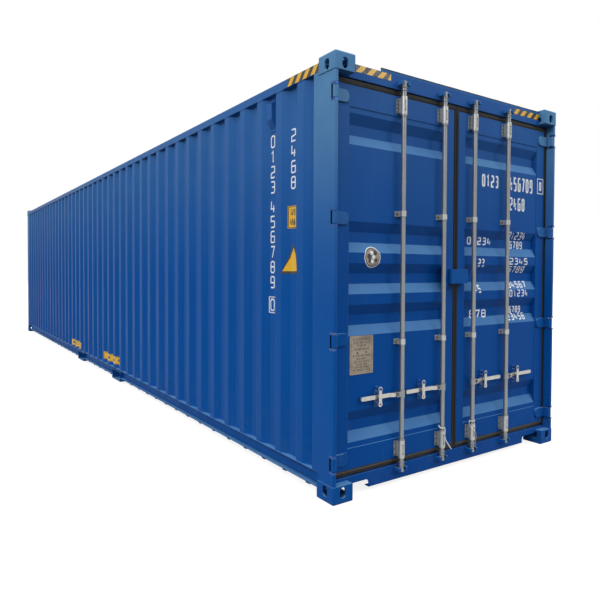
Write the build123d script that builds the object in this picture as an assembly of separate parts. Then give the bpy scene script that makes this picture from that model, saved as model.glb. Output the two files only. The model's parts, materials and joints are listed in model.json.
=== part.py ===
from build123d import *
import os
from math import atan2, tan

os.makedirs("parts", exist_ok=True)

# A 40 ft high-cube dry freight container. X runs along its length with the door end at +X,
# Y across it, Z up, and the origin is the middle of the base on the ground.

# Overall size and corner castings
length = 12192.0
width = 2438.0
height = 2896.0
casting_length = 178.0
casting_width = 162.0
casting_height = 118.0
casting_wall = 16.0
casting_plate = 28.0
casting_round = 12.0
twistlock_end_inset = 103.5
twistlock_side_inset = 89.5
twistlock_length = 124.0
twistlock_width = 63.5
lashing_height = 72.0
lashing_hole_length = 72.0
lashing_hole_width = 51.0
window_width = 90.0
window_height = 56.0

# Steel frame
casting_proud = 4.0
post_wall = 6.0
post_depth = 237.0
post_front_width = 24.0
jamb_step = 21.0
jamb_front_depth = 122.0
rear_post_round = 8.0
front_post_depth = 165.0
front_post_width = 109.0
front_post_flange = 45.0
rail_size = 60.0
top_rail_drop = 95.0
rail_wall = 4.0
bottom_rail_z = 62.0
bottom_rail_top = 172.0
bottom_rail_flange = 50.0
bottom_rail_lip = 42.0
door_end_setback = 61.0
frame_plate = 5.0
sill_z = 33.0
sill_ledge_z = 136.0
sill_depth = 145.0
sill_notch_width = 190.0
sill_notch_z = 88.0
sill_notch_round = 25.0
sill_flange = 40.0
header_drop = 130.0
header_step = 32.0
header_rim_height = 22.0
header_rim_left_y = -780.0
gasket_clearance = 5.0
front_rail_depth = 52.0
front_sill_z = 33.0
floor_top = 170.0
floor_thickness = 28.0

# Corrugated sheets
wall_sheet = 2.0
wall_inset = 6.0
wall_pitch = 281.0
wall_outer_flat = 72.0
wall_slope = 69.0
wall_depth = 36.0
wall_edge_flat = 54.0
front_pitch = 240.0
front_outer_flat = 110.0
front_slope = 18.0
front_depth = 45.0
front_edge_flat = 73.0
roof_sheet = 2.0
roof_edge = 15.0
roof_pitch = 209.0
roof_rib_base = 131.0
roof_rib_top = 79.0
roof_rib_height = 20.0
roof_rib_margin = 95.0
roof_rib_end_slope = 30.0

# Underframe
cross_z = 22.0
cross_flange = 45.0
cross_wall = 4.0
cross_pitch = 305.0
pocket_middle = 266.0
pocket_spacing = 2004.0
pocket_width = 360.0
pocket_z = 22.0
pocket_top = 137.0
pocket_mouth_top = 158.0
pocket_wall = 5.0
tunnel_length = 3315.0
tunnel_width = 1029.0
tunnel_wall = 6.0

# Door leaves
leaf_setback = 70.0
leaf_depth = 50.0
leaf_gap = 57.0
leaf_jamb_gap = 46.0
leaf_z = 181.0
leaf_drop = 173.0
leaf_outer_stile = 98.0
leaf_inner_stile = 76.0
leaf_rail = 140.0
panel_setback = 4.0
panel_sheet = 2.0
recess_height = 206.0
recess_floor = 70.0
recess_depth = 36.0
recess_pitch = 278.0
recess_edge = 39.0
gasket_setback = 73.0
gasket_thickness = 12.0
gasket_lip = 38.0
gasket_centre_gap = 3.0

# Hinges
hinge_pin_end = 22.0
hinge_pin_side = 20.0
hinge_pin_radius = 8.0
hinge_pin_clearance = 0.4
hinge_knuckle_radius = 17.0
hinge_foot = 77.0
hinge_head = 83.0
hinge_count = 4
blade_height = 80.0
blade_clearance = 3.0
blade_thickness = 11.0
blade_jamb_gap = 3.0
blade_reach = 88.0
blade_round = 34.0
hinge_slot_depth = 49.0
hinge_lug = 16.0

# Locking bars
bar_standoff = 38.0
bar_radius = 17.0
bar_wall = 3.0
bar_outer_y = 590.0
bar_inner_y = 172.0
bar_foot = 89.0
bar_head = 100.0
cam_height = 36.0
cam_reach = 27.0
cam_thickness = 18.0
keeper_lip_x = 15.0
keeper_lip_y = 23.0
keeper_wall_y = 33.0
keeper_thickness = 8.0
keeper_margin = 4.0
bearing_clearance = 0.3
bearing_wall = 6.0
bearing_width = 80.0
bearing_plate = 6.0
bearing_height = 103.0
bearing_sleeve_height = 124.0
guide_height = 38.0
guide_width = 88.0
guide_upper_z = 1904.0
guide_lower_z = 1009.0
collar_height = 12.0
collar_wall = 5.0
collar_gap = 1.0

# Handles and their catches
handle_z = 643.0
handle_length = 362.0
handle_height = 28.0
handle_thickness = 12.0
handle_pivot = 40.0
handle_pivot_radius = 6.0
handle_pivot_clearance = 0.3
handle_straight = 74.0
handle_bend = 112.0
handle_kink = 16.0
fork_gap = 1.0
fork_cheek = 6.0
fork_reach = 56.0
fork_height = 36.0
fork_hub_height = 52.0
fork_bolt_overhang = 3.0
catch_reach_left = 208.0
catch_reach_right = 150.0
retainer_width = 36.0
retainer_height = 140.0
retainer_plate = 6.0
ledge_thickness = 8.0
ledge_clearance = 2.0
lip_thickness = 4.0
lip_height = 12.0
lip_gap = 4.0
catch_gap = 5.0
catch_thickness = 6.0
catch_pivot_rise = 56.0
catch_drop = 104.0
catch_lobe = 17.0
catch_neck = 26.0
catch_boss = 9.0
catch_head = 10.0
catch_head_thickness = 4.0
catch_play = 0.5
seal_hole = 6.0

# Lock box between the leaves
hood_left_y = -107.0
hood_right_y = 73.0
hood_z = 1411.0
hood_top = 1518.0
hood_setback = 8.0
hood_plate = 4.0
hood_gap = 10.0
lock_bracket_left_y = -150.0
lock_bracket_right_y = -44.0
lock_bracket_depth = 30.0
lock_clearance = 5.0
lock_bracket_z = 1384.0
lock_bracket_top = 1537.0

# Ventilators
vent_width = 64.0
vent_height = 200.0
vent_depth = 34.0
vent_slope = 66.0
vent_brow = 19.0
vent_drop = 138.0
vent_groove_count = 1

# Places worked out from the sizes
end_x = length / 2
side_y = width / 2
face_x = end_x - casting_proud
face_y = side_y - casting_proud
casting_x = end_x - casting_length
casting_y = side_y - casting_width
top_casting_z = height - casting_height
top_rail_z = height - top_rail_drop
top_rail_top = top_rail_z + rail_size
header_z = height - header_drop
leaf_top = height - leaf_drop
recess_far = (leaf_top - leaf_z) / 2 - leaf_rail - recess_edge - recess_height / 2
vent_z = top_rail_z - vent_drop
post_x = end_x - post_depth
jamb_y = face_y - post_front_width
opening_y = jamb_y - jamb_step
jamb_x = face_x - jamb_front_depth
sill_x = end_x - door_end_setback
riser_x = end_x - gasket_setback - gasket_thickness - gasket_clearance
sill_back = sill_x - sill_depth
rail_y = face_y - rail_size
web_y = face_y - bottom_rail_flange
front_post_x = -end_x + front_post_depth + casting_proud
front_post_y = face_y - front_post_width
wall_y = side_y - wall_inset
floor_z = floor_top - floor_thickness
leaf_x = end_x - leaf_setback
leaf_outer_y = jamb_y - leaf_jamb_gap
leaf_inner_y = leaf_gap / 2
panel_x = leaf_x - panel_setback
pin_x = end_x - hinge_pin_end
pin_y = side_y - hinge_pin_side
bar_x = leaf_x + bar_standoff
hinge_first_z = leaf_z + hinge_foot
hinge_pitch = (leaf_top - hinge_head - hinge_first_z) / (hinge_count - 1)
hinge_zs = [hinge_first_z + i * hinge_pitch for i in range(hinge_count)]
bar_z = leaf_z - bar_foot
bar_top = leaf_top + bar_head
bearing_top_z = leaf_top - leaf_rail / 2
bearing_bottom_z = leaf_z + leaf_rail / 2
hood_front = end_x - hood_setback
inner_flat = wall_pitch - 2 * wall_slope - wall_outer_flat
pocket_xs = [pocket_middle - pocket_spacing / 2, pocket_middle + pocket_spacing / 2]
tunnel_x = -end_x + tunnel_length


def block(x0, x1, y0, y1, z0, z1):
    """Box between two corners."""
    size = Box(x1 - x0, y1 - y0, z1 - z0, align=(Align.MIN, Align.MIN, Align.MIN))
    return Pos(x0, y0, z0) * size


def plan_prism(points, z0, z1):
    """Closed outline in plan, raised from z0 to z1."""
    face = make_face(Polyline(*points, close=True))
    return extrude(Pos(0, 0, z0) * face, amount=z1 - z0, dir=(0, 0, 1))


def cross_prism(points, y0, y1):
    """Closed outline of (x, z) points, run across from y0 to y1."""
    outline = [(x, 0, z) for x, z in points]
    face = make_face(Polyline(*outline, close=True))
    return extrude(Pos(0, y0, 0) * face, amount=y1 - y0, dir=(0, 1, 0))


def both_sides(piece):
    """The piece and its mirror image on the other side."""
    return [piece, mirror(piece, about=Plane.XZ)]


def save(name, pieces, color):
    """Write one node of one or more solids."""
    solids = pieces if isinstance(pieces, list) else [pieces]
    shape = solids[0] if len(solids) == 1 else Compound(children=solids)
    shape.label = name
    shape.color = Color(*color)
    export_step(shape, f"parts/{name}.step")


# Corner castings
def corner_casting():
    """Casting with its outer lower corner at the origin."""
    body = block(0, casting_length, 0, casting_width, 0, casting_height)
    outer = [e for e in body.edges() if e.center().X < 1 and e.center().Y < 1]
    outer += [e for e in body.edges() if e.center().Z < 1 and min(e.center().X, e.center().Y) < 1]
    body = fillet(outer, casting_round)
    cavity = block(casting_wall, casting_length - casting_wall, casting_wall, casting_width - casting_wall,
                   casting_plate, casting_height - casting_wall)
    twistlock = Pos(twistlock_end_inset, twistlock_side_inset, -1) * extrude(
        SlotOverall(twistlock_length, twistlock_width), casting_plate + 2)
    lashing = SlotOverall(lashing_hole_length, lashing_hole_width, rotation=90)
    end_hole = extrude(Plane.YZ * Pos(casting_width / 2, lashing_height) * lashing, casting_wall + 2)
    side_hole = extrude(Plane.XZ * Pos(casting_length / 2, lashing_height) * lashing, -casting_wall - 2)
    z0 = lashing_height - window_height / 2
    z1 = lashing_height + window_height / 2
    mid_x = casting_length / 2
    mid_y = casting_width / 2
    inner_side = block(mid_x - window_width / 2, mid_x + window_width / 2,
                       casting_width - casting_wall - 1, casting_width + 1, z0, z1)
    inner_end = block(casting_length - casting_wall - 1, casting_length + 1,
                      mid_y - window_width / 2, mid_y + window_width / 2, z0, z1)
    return body - [cavity, twistlock, end_hole, side_hole, inner_side, inner_end]


casting = corner_casting()


def four_castings(top):
    """The casting at the four corners, turned over at the top."""
    base = mirror(casting, about=Plane.XY) if top else casting
    z = height if top else 0
    placed = []
    for x_side in (-1, 1):
        for y_side in (-1, 1):
            piece = mirror(base, about=Plane.YZ) if x_side > 0 else base
            piece = mirror(piece, about=Plane.XZ) if y_side > 0 else piece
            placed.append(Pos(x_side * end_x, y_side * side_y, z) * piece)
    return placed


def casting_room(x_side, y_side, top):
    """The block that a corner casting fills."""
    x0, x1 = sorted((x_side * casting_x, x_side * (end_x + 1)))
    y0, y1 = sorted((y_side * casting_y, y_side * (side_y + 1)))
    z0 = top_casting_z if top else -1
    z1 = height + 1 if top else casting_height
    return block(x0, x1, y0, y1, z0, z1)


bottom_rooms = [casting_room(x, y, False) for x in (-1, 1) for y in (-1, 1)]
top_rooms = [casting_room(x, y, True) for x in (-1, 1) for y in (-1, 1)]


# Corner posts
def rear_post():
    """Pressed door post with a stepped jamb, cut out at each hinge."""
    outline = [(face_x, jamb_y), (face_x, face_y), (post_x, face_y), (post_x, opening_y),
               (jamb_x, opening_y), (jamb_x + jamb_step, jamb_y)]
    t = post_wall
    inside = [(face_x - t, jamb_y + t), (face_x - t, face_y - t), (post_x + t, face_y - t),
              (post_x + t, opening_y + t), (jamb_x - t / 2, opening_y + t),
              (jamb_x + jamb_step - t / 2, jamb_y + t)]
    solid = plan_prism(outline, casting_height, top_rail_z)
    corner = [e for e in solid.edges().filter_by(Axis.Z)
              if e.center().X > face_x - 1 and e.center().Y > face_y - 1]
    solid = fillet(corner, rear_post_round)
    solid -= plan_prism(inside, casting_height - 1, top_rail_z + 1)
    solid -= block(post_x - 1, casting_x, 0, side_y, casting_height - 1, bottom_rail_top)
    half = blade_height / 2 + blade_clearance + hinge_lug
    cuts = [block(face_x - hinge_slot_depth + casting_proud, end_x, opening_y, side_y, z - half, z + half)
            for z in hinge_zs]
    return solid - cuts - top_rooms


def front_post():
    """Angle-shaped hollow post of the closed end."""
    x0 = -face_x
    x1 = front_post_x
    f = front_post_flange
    t = post_wall
    outline = [(x0, face_y), (x1, face_y), (x1, face_y - f), (x0 + f, face_y - f),
               (x0 + f, front_post_y), (x0, front_post_y)]
    inside = [(x0 + t, face_y - t), (x1 - t, face_y - t), (x1 - t, face_y - f + t), (x0 + f - t, face_y - f + t),
              (x0 + f - t, front_post_y + t), (x0 + t, front_post_y + t)]
    solid = plan_prism(outline, casting_height, top_casting_z)
    return solid - plan_prism(inside, casting_height - 1, top_casting_z + 1)


# Rails, sill and header
def top_side_rail():
    """Square tube along the top of a side wall."""
    solid = block(-casting_x, casting_x, rail_y, face_y, top_rail_z, top_rail_top)
    t = rail_wall
    return solid - block(-end_x, end_x, rail_y + t, face_y - t, top_rail_z + t, top_rail_top - t)


def bottom_side_rail():
    """Channel open outwards, with the wall standing on its upper flange."""
    t = frame_plate
    web = block(-casting_x, casting_x, web_y - t, web_y, bottom_rail_z, bottom_rail_top)
    upper = block(-casting_x, casting_x, web_y - t, face_y, bottom_rail_top - t, bottom_rail_top)
    lower = block(-casting_x, casting_x, web_y - t, web_y + bottom_rail_lip, bottom_rail_z, bottom_rail_z + t)
    half = pocket_width / 2 + pocket_wall
    cuts = [block(x - half, x + half, 0, side_y, 0, pocket_mouth_top) for x in pocket_xs]
    return (web + [upper, lower]) - cuts


def door_sill():
    """Pressed sill with a ledge below the door seal and a notch beside each casting."""
    t = frame_plate
    outline = [(sill_x - sill_flange, sill_z), (sill_x, sill_z), (sill_x, sill_ledge_z), (riser_x, sill_ledge_z),
               (riser_x, floor_top), (sill_back, floor_top), (sill_back, sill_z),
               (sill_back + t, sill_z), (sill_back + t, floor_top - t), (riser_x - t, floor_top - t),
               (riser_x - t, sill_ledge_z - t), (sill_x - t, sill_ledge_z - t), (sill_x - t, sill_z + t),
               (sill_x - sill_flange, sill_z + t)]
    solid = cross_prism(outline, -opening_y, opening_y)
    rail_end = block(sill_back - 1, casting_x, web_y - t, side_y, 0, height)
    notch_y = casting_y - sill_notch_width
    notch = block(sill_x - sill_flange - 1, sill_x + 1, notch_y, casting_y, sill_z - 1, sill_notch_z)
    corner = [e for e in notch.edges().filter_by(Axis.X)
              if e.center().Y < notch_y + 1 and e.center().Z > sill_notch_z - 1]
    notch = fillet(corner, sill_notch_round)
    return solid - bottom_rooms - both_sides(notch) - both_sides(rail_end)


def door_header():
    """Box header over the doors, with a lower stop behind the door seal."""
    t = rail_wall
    outline = [(sill_x, header_z), (sill_x, top_rail_top), (casting_x, top_rail_top),
               (casting_x, header_z - header_step), (riser_x, header_z - header_step), (riser_x, header_z)]
    inside = [(sill_x - t, header_z + t), (sill_x - t, top_rail_top - t), (casting_x + t, top_rail_top - t),
              (casting_x + t, header_z - header_step + t), (riser_x - t, header_z - header_step + t),
              (riser_x - t, header_z + t)]
    solid = cross_prism(outline, -opening_y, opening_y)
    return solid - cross_prism(inside, -side_y, side_y) - top_rooms


def header_rim():
    """Low plate standing on the front edge of the header."""
    return block(sill_x - rail_wall, sill_x, header_rim_left_y, casting_y, top_rail_top, top_rail_top + header_rim_height)


def front_bottom_rail():
    """Closed-end sill on the +Y side of the gooseneck tunnel."""
    x0 = -face_x
    x1 = x0 + front_rail_depth
    t = frame_plate
    half = tunnel_width / 2 + tunnel_wall
    solid = block(x0, x1, half, front_post_y, front_sill_z, bottom_rail_top)
    solid -= block(x0 + t, x1 - t, 0, side_y, front_sill_z - 1, bottom_rail_top - t)
    return solid - bottom_rooms


def tunnel_lintel():
    """Plate that carries the front wall over the mouth of the gooseneck tunnel."""
    x0 = -face_x
    x1 = x0 + front_rail_depth
    half = tunnel_width / 2 + tunnel_wall
    return block(x0, x1, -half, half, floor_z - tunnel_wall, bottom_rail_top)


def front_top_rail():
    """Square tube over the closed end."""
    x0 = -face_x
    t = rail_wall
    tube = block(x0, x0 + rail_size, -casting_y, casting_y, top_rail_z, top_rail_top)
    return tube - block(x0 + t, x0 + rail_size - t, -side_y, side_y, top_rail_z + t, top_rail_top - t)


def roof_end_plate():
    """Flat plate from the front top rail to the roof sheet."""
    return block(-face_x, -casting_x, -casting_y, casting_y, top_rail_top, top_rail_top + rail_wall)


# Corrugated sheets
def wave_line(outer_flat, slope, pitch, depth, edge_flat, total, offset):
    """Points (along, inward) of a trapezoid wave that starts and ends on inner flats."""
    lean = offset * tan(atan2(depth, slope) / 2)
    count = int((total - edge_flat + pitch - 2 * slope - outer_flat) / pitch)
    points = [(0.0, depth + offset)]
    for i in range(count):
        start = edge_flat + i * pitch
        points.append((start + lean, depth + offset))
        points.append((start + slope + lean, offset))
        points.append((start + slope + outer_flat - lean, offset))
        points.append((start + 2 * slope + outer_flat - lean, depth + offset))
    points.append((total, depth + offset))
    return points


def side_wall():
    """Corrugated wall on the +Y side, between the posts and the rails."""
    total = post_x - front_post_x
    sizes = (wall_outer_flat, wall_slope, wall_pitch, wall_depth, wall_edge_flat, total)
    outer = wave_line(*sizes, 0.0)
    inner = wave_line(*sizes, wall_sheet)
    points = [(post_x - s, wall_y - d) for s, d in outer] + [(post_x - s, wall_y - d) for s, d in reversed(inner)]
    return plan_prism(points, bottom_rail_top, top_rail_z) - top_rooms


def front_wall():
    """Corrugated wall of the closed end."""
    total = 2 * front_post_y
    sizes = (front_outer_flat, front_slope, front_pitch, front_depth, front_edge_flat, total)
    outer = wave_line(*sizes, 0.0)
    inner = wave_line(*sizes, wall_sheet)
    x0 = -face_x + 1
    points = [(x0 + d, s - front_post_y) for s, d in outer]
    points += [(x0 + d, s - front_post_y) for s, d in reversed(inner)]
    return plan_prism(points, bottom_rail_top, top_rail_z) - top_rooms


def rib(base_x, base_y, top_x, top_y, rise):
    """Pressed rib: a low pyramid without its point, standing on the origin."""
    return loft([Rectangle(base_x, base_y), Pos(0, 0, rise) * Rectangle(top_x, top_y)])


def roof_panel():
    """Flat sheet with pressed cross ribs."""
    z = top_rail_top
    t = roof_sheet
    half_x = casting_x
    half_y = face_y - roof_edge
    rib_y = 2 * (half_y - roof_rib_margin)
    outer = rib(roof_rib_base, rib_y, roof_rib_top, rib_y - 2 * roof_rib_end_slope, roof_rib_height)
    inner = rib(roof_rib_base - 2 * t, rib_y - 2 * t, roof_rib_top - 2 * t,
                rib_y - 2 * roof_rib_end_slope - 2 * t, roof_rib_height)
    count = int((2 * half_x - roof_rib_base) / roof_pitch)
    places = [(i - (count - 1) / 2) * roof_pitch for i in range(count)]
    sheet = block(-half_x, half_x, -half_y, half_y, z, z + t)
    sheet += [Pos(x, 0, z + t) * outer for x in places]
    return sheet - [Pos(x, 0, z) * inner for x in places]


# Floor and underframe
def cross_channel(x, y0, y1):
    """One floor joist: a channel on its side from y0 to y1."""
    t = cross_wall
    solid = block(x, x + cross_flange, y0, y1, cross_z, floor_z)
    return solid - block(x + t, x + cross_flange + 1, y0 - 1, y1 + 1, cross_z + t, floor_z - t)


def cross_members():
    """Floor joists at an even pitch, left out at the fork pockets and split round the tunnel."""
    reach = web_y - frame_plate
    beside = tunnel_width / 2 + tunnel_wall
    first = -face_x + front_rail_depth + cross_pitch / 2
    count = int((sill_back - cross_flange - first) / cross_pitch) + 1
    joists = []
    for i in range(count):
        x = first + i * cross_pitch
        clear = pocket_width / 2 + pocket_wall + cross_wall
        if any(p - clear - cross_flange < x < p + clear for p in pocket_xs):
            continue
        if x < tunnel_x:
            joists += [cross_channel(x, -reach, -beside), cross_channel(x, beside, reach)]
        else:
            joists.append(cross_channel(x, -reach, reach))
    return joists


def fork_pocket(x):
    """Rectangular tunnel across the underframe for a truck's fork."""
    t = pocket_wall
    half = pocket_width / 2
    reach = web_y + bottom_rail_lip
    solid = block(x - half - t, x + half + t, -reach, reach, pocket_z - t, pocket_top + t)
    return solid - block(x - half, x + half, -side_y, side_y, pocket_z, pocket_top)


def gooseneck_tunnel():
    """Raised channel along the middle of the underframe at the closed end."""
    half = tunnel_width / 2
    t = tunnel_wall
    x0 = -face_x + front_rail_depth
    top = block(x0, tunnel_x, -half - t, half + t, floor_z - t, floor_z)
    return top, block(x0, tunnel_x, half, half + t, cross_z, floor_z - t)


floor = block(-face_x + front_rail_depth, sill_back, -(web_y - frame_plate), web_y - frame_plate, floor_z, floor_top)


def ventilator():
    """Cowl with sloping ends in a wall groove on the +Y side near the door end."""
    groove = wall_edge_flat + vent_groove_count * wall_pitch + 2 * wall_slope + wall_outer_flat
    x = post_x - groove - inner_flat / 2
    y = wall_y - wall_depth
    low = vent_z - vent_height / 2
    high = vent_z + vent_height / 2
    points = [(0, y, low), (0, y + vent_depth, low + vent_slope), (0, y + vent_depth, high - vent_brow),
              (0, y, high)]
    face = make_face(Polyline(*points, close=True))
    return extrude(Pos(x - vent_width / 2, 0, 0) * face, amount=vent_width, dir=(1, 0, 0))


# Door leaves, drawn on the +Y side
def leaf_frame():
    """Tubes round a door leaf."""
    ring = block(leaf_x - leaf_depth, leaf_x, leaf_inner_y, leaf_outer_y, leaf_z, leaf_top)
    hole = block(leaf_x - leaf_depth - 1, leaf_x + 1, leaf_inner_y + leaf_inner_stile,
                 leaf_outer_y - leaf_outer_stile, leaf_z + leaf_rail, leaf_top - leaf_rail)
    return ring - hole


def panel_line(offset):
    """Points (x, z) up the pressed door sheet, set back by the offset."""
    half = recess_height / 2
    floor_half = recess_floor / 2
    lean = offset * tan(atan2(recess_depth, half - floor_half) / 2)
    mid_z = (leaf_z + leaf_top) / 2
    flat_x = panel_x - offset
    points = [(flat_x, leaf_z + leaf_rail)]
    for row in (-recess_far, -recess_pitch, 0, recess_pitch, recess_far):
        z = mid_z + row
        points.append((flat_x, z - half - lean))
        points.append((flat_x - recess_depth, z - floor_half - lean))
        points.append((flat_x - recess_depth, z + floor_half + lean))
        points.append((flat_x, z + half + lean))
    points.append((flat_x, leaf_top - leaf_rail))
    return points


def leaf_panel():
    """Door sheet with five pressed recesses that run from stile to stile."""
    outline = panel_line(0.0) + panel_line(panel_sheet)[::-1]
    return cross_prism(outline, leaf_inner_y + leaf_inner_stile, leaf_outer_y - leaf_outer_stile)


def leaf_gasket():
    """Rubber seal round a door leaf."""
    x1 = end_x - gasket_setback
    x0 = x1 - gasket_thickness
    ring = block(x0, x1, gasket_centre_gap / 2, leaf_outer_y + gasket_lip, leaf_z - gasket_lip, leaf_top + gasket_lip)
    return ring - block(x0 - 1, x1 + 1, leaf_inner_y, leaf_outer_y, leaf_z, leaf_top)


def hinge_pin(z):
    """Hinge pin between two lugs set into the post's front corner."""
    half = blade_height / 2 + blade_clearance
    x0 = face_x - hinge_slot_depth + casting_proud
    pin = Pos(pin_x, pin_y, z) * Cylinder(hinge_pin_radius, 2 * half)
    lugs = [block(x0, face_x, jamb_y, face_y, z + half, z + half + hinge_lug),
            block(x0, face_x, jamb_y, face_y, z - half - hinge_lug, z - half)]
    return pin + lugs


def hinge_blade(z):
    """Cranked blade from the pin to the face of the leaf."""
    half = blade_height / 2
    x1 = leaf_x + blade_thickness
    y_neck = jamb_y - blade_jamb_gap
    end_y = leaf_outer_y - blade_reach
    flat = block(leaf_x, x1, end_y, y_neck, z - half, z + half)
    corners = [e for e in flat.edges().filter_by(Axis.X) if e.center().Y < end_y + 1]
    flat = fillet(corners, blade_round)
    neck = block(leaf_x, pin_x, y_neck - blade_thickness, y_neck, z - half, z + half)
    web = block(pin_x - hinge_knuckle_radius / 2, pin_x + hinge_knuckle_radius / 2,
                y_neck - blade_thickness, pin_y, z - half, z + half)
    knuckle = Pos(pin_x, pin_y, z) * Cylinder(hinge_knuckle_radius, blade_height)
    bore = Pos(pin_x, pin_y, z) * Cylinder(hinge_pin_radius + hinge_pin_clearance, blade_height + 2)
    return (flat + [neck, web, knuckle]) - bore


# Locking bars
def bar_bearing(y, z):
    """Plate on the leaf's frame behind the bar, with a longer sleeve round it."""
    sleeve_radius = bar_radius + bearing_clearance + bearing_wall
    h = bearing_height / 2
    plate = block(leaf_x, leaf_x + bearing_plate, y - bearing_width / 2, y + bearing_width / 2, z - h, z + h)
    web = block(leaf_x, bar_x, y - sleeve_radius, y + sleeve_radius, z - h, z + h)
    sleeve = Pos(bar_x, y, z) * Cylinder(sleeve_radius, bearing_sleeve_height)
    bore = Pos(bar_x, y, z) * Cylinder(bar_radius + bearing_clearance, bearing_sleeve_height + 2)
    return (plate + [web, sleeve]) - bore


def bar_guide(y, z):
    """Short strap round the bar with its foot on the door sheet."""
    strap_radius = bar_radius + bearing_clearance + collar_wall
    h = guide_height / 2
    foot = block(panel_x, panel_x + bearing_plate, y - guide_width / 2, y + guide_width / 2, z - h, z + h)
    web = block(panel_x, bar_x, y - strap_radius, y + strap_radius, z - h, z + h)
    strap = Pos(bar_x, y, z) * Cylinder(strap_radius, guide_height)
    bore = Pos(bar_x, y, z) * Cylinder(bar_radius + bearing_clearance, guide_height + 2)
    return (foot + [web, strap]) - bore


def collar(y, z):
    """Ring fixed on the bar beside a bearing."""
    return Pos(bar_x, y, z) * Cylinder(bar_radius + collar_wall, collar_height)


def locking_bar(y):
    """Tube with a cam at each end, two collars and the fork that carries the handle."""
    tube = Pos(bar_x, y, (bar_z + bar_top) / 2) * Cylinder(bar_radius, bar_top - bar_z)
    inner_tall = bar_top - bar_z - 2 * cam_height
    hollow = Pos(bar_x, y, (bar_z + bar_top) / 2) * Cylinder(bar_radius - bar_wall, inner_tall)
    cam = extrude(SlotOverall(2 * cam_reach, cam_thickness, rotation=90), cam_height)
    cams = [Pos(bar_x, y, bar_z) * cam, Pos(bar_x, y, bar_top - cam_height) * cam]
    ring_gap = bearing_sleeve_height / 2 + collar_gap + collar_height / 2
    rings = [collar(y, bearing_bottom_z + ring_gap), collar(y, bearing_top_z - ring_gap)]
    half = handle_thickness / 2 + fork_gap
    fork = Pos(bar_x, y, handle_z) * Cylinder(bar_radius + collar_wall, fork_hub_height)
    fork += block(bar_x - half - fork_cheek, bar_x + half + fork_cheek, y, y + fork_reach,
                  handle_z - fork_height / 2, handle_z + fork_height / 2)
    fork -= block(bar_x - half, bar_x + half, y + bar_radius + collar_wall, y + fork_reach + 1,
                  handle_z - fork_height, handle_z + fork_height)
    bolt = Pos(bar_x, y + handle_pivot, handle_z) * Rot(0, 90, 0) * Cylinder(
        handle_pivot_radius, 2 * (half + fork_cheek + fork_bolt_overhang))
    return (tube - hollow) + cams + rings + [fork, bolt]


def bar_handle(y):
    """Flat handle, cranked towards the leaf, with an eye on the fork's bolt."""
    h = handle_thickness / 2
    eye = handle_height / 2
    path = [(0, handle_pivot), (0, handle_straight), (-handle_kink, handle_bend), (-handle_kink, handle_length)]
    front = [(bar_x + x + h, y + s) for x, s in path]
    back = [(bar_x + x - h, y + s) for x, s in reversed(path)]
    solid = plan_prism(front + back, handle_z - eye, handle_z + eye)
    ends = [e for e in solid.edges().filter_by(Axis.X) if e.center().Y > y + handle_length - 1]
    solid = fillet(ends, eye * 0.8)
    solid += Pos(bar_x, y + handle_pivot, handle_z) * Rot(0, 90, 0) * Cylinder(eye, handle_thickness)
    bore = Pos(bar_x, y + handle_pivot, handle_z) * Rot(0, 90, 0) * Cylinder(
        handle_pivot_radius + handle_pivot_clearance, handle_thickness + 2)
    return solid - bore


handle_back = bar_x - handle_kink - handle_thickness / 2
handle_front = bar_x - handle_kink + handle_thickness / 2
catch_x = handle_front + lip_gap + lip_thickness + catch_gap


def handle_retainer(y):
    """Plate with the ledge that the handle rests on and the boss that carries the catch."""
    z = handle_z
    x1 = panel_x + retainer_plate
    lip_x = handle_front + lip_gap
    ledge_top = z - handle_height / 2 - ledge_clearance
    plate = block(panel_x, x1, y - retainer_width / 2, y + retainer_width / 2,
                  z - retainer_height / 2, z + retainer_height / 2)
    ledge = block(panel_x, lip_x + lip_thickness, y - catch_neck / 2, y + catch_neck / 2,
                  ledge_top - ledge_thickness, ledge_top)
    lip = block(lip_x, lip_x + lip_thickness, y - catch_neck / 2, y + catch_neck / 2,
                ledge_top - ledge_thickness, ledge_top + lip_height)
    post_long = catch_x - panel_x
    boss = Pos(panel_x + post_long / 2, y, z + catch_pivot_rise) * Rot(0, 90, 0) * Cylinder(catch_boss, post_long)
    stem_long = catch_thickness + 2 * catch_play
    stem = Pos(catch_x + stem_long / 2, y, z + catch_pivot_rise) * Rot(0, 90, 0) * Cylinder(
        handle_pivot_radius, stem_long)
    head_x = catch_x + stem_long + catch_head_thickness / 2
    head = Pos(head_x, y, z + catch_pivot_rise) * Rot(0, 90, 0) * Cylinder(catch_head, catch_head_thickness)
    return plate + [ledge, lip, boss, stem, head]


def handle_catch(y):
    """Flap that hangs in front of the handle, with a seal hole in its lower lobe."""
    z = handle_z + catch_pivot_rise
    x0 = catch_x + catch_play
    seat = (Align.CENTER, Align.CENTER, Align.MIN)
    lobe = Rot(0, 90, 0) * Cylinder(catch_lobe, catch_thickness, align=seat)
    flap = Pos(x0, y, z) * lobe + Pos(x0, y, z - catch_drop) * lobe
    flap += block(x0, x0 + catch_thickness, y - catch_neck / 2, y + catch_neck / 2, z - catch_drop, z)
    bore = Pos(x0, y, z) * Rot(0, 90, 0) * Cylinder(handle_pivot_radius + handle_pivot_clearance, 4 * catch_thickness)
    seal = Pos(x0, y, z - catch_drop) * Rot(0, 90, 0) * Cylinder(seal_hole, 4 * catch_thickness)
    return flap - [bore, seal]


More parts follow.
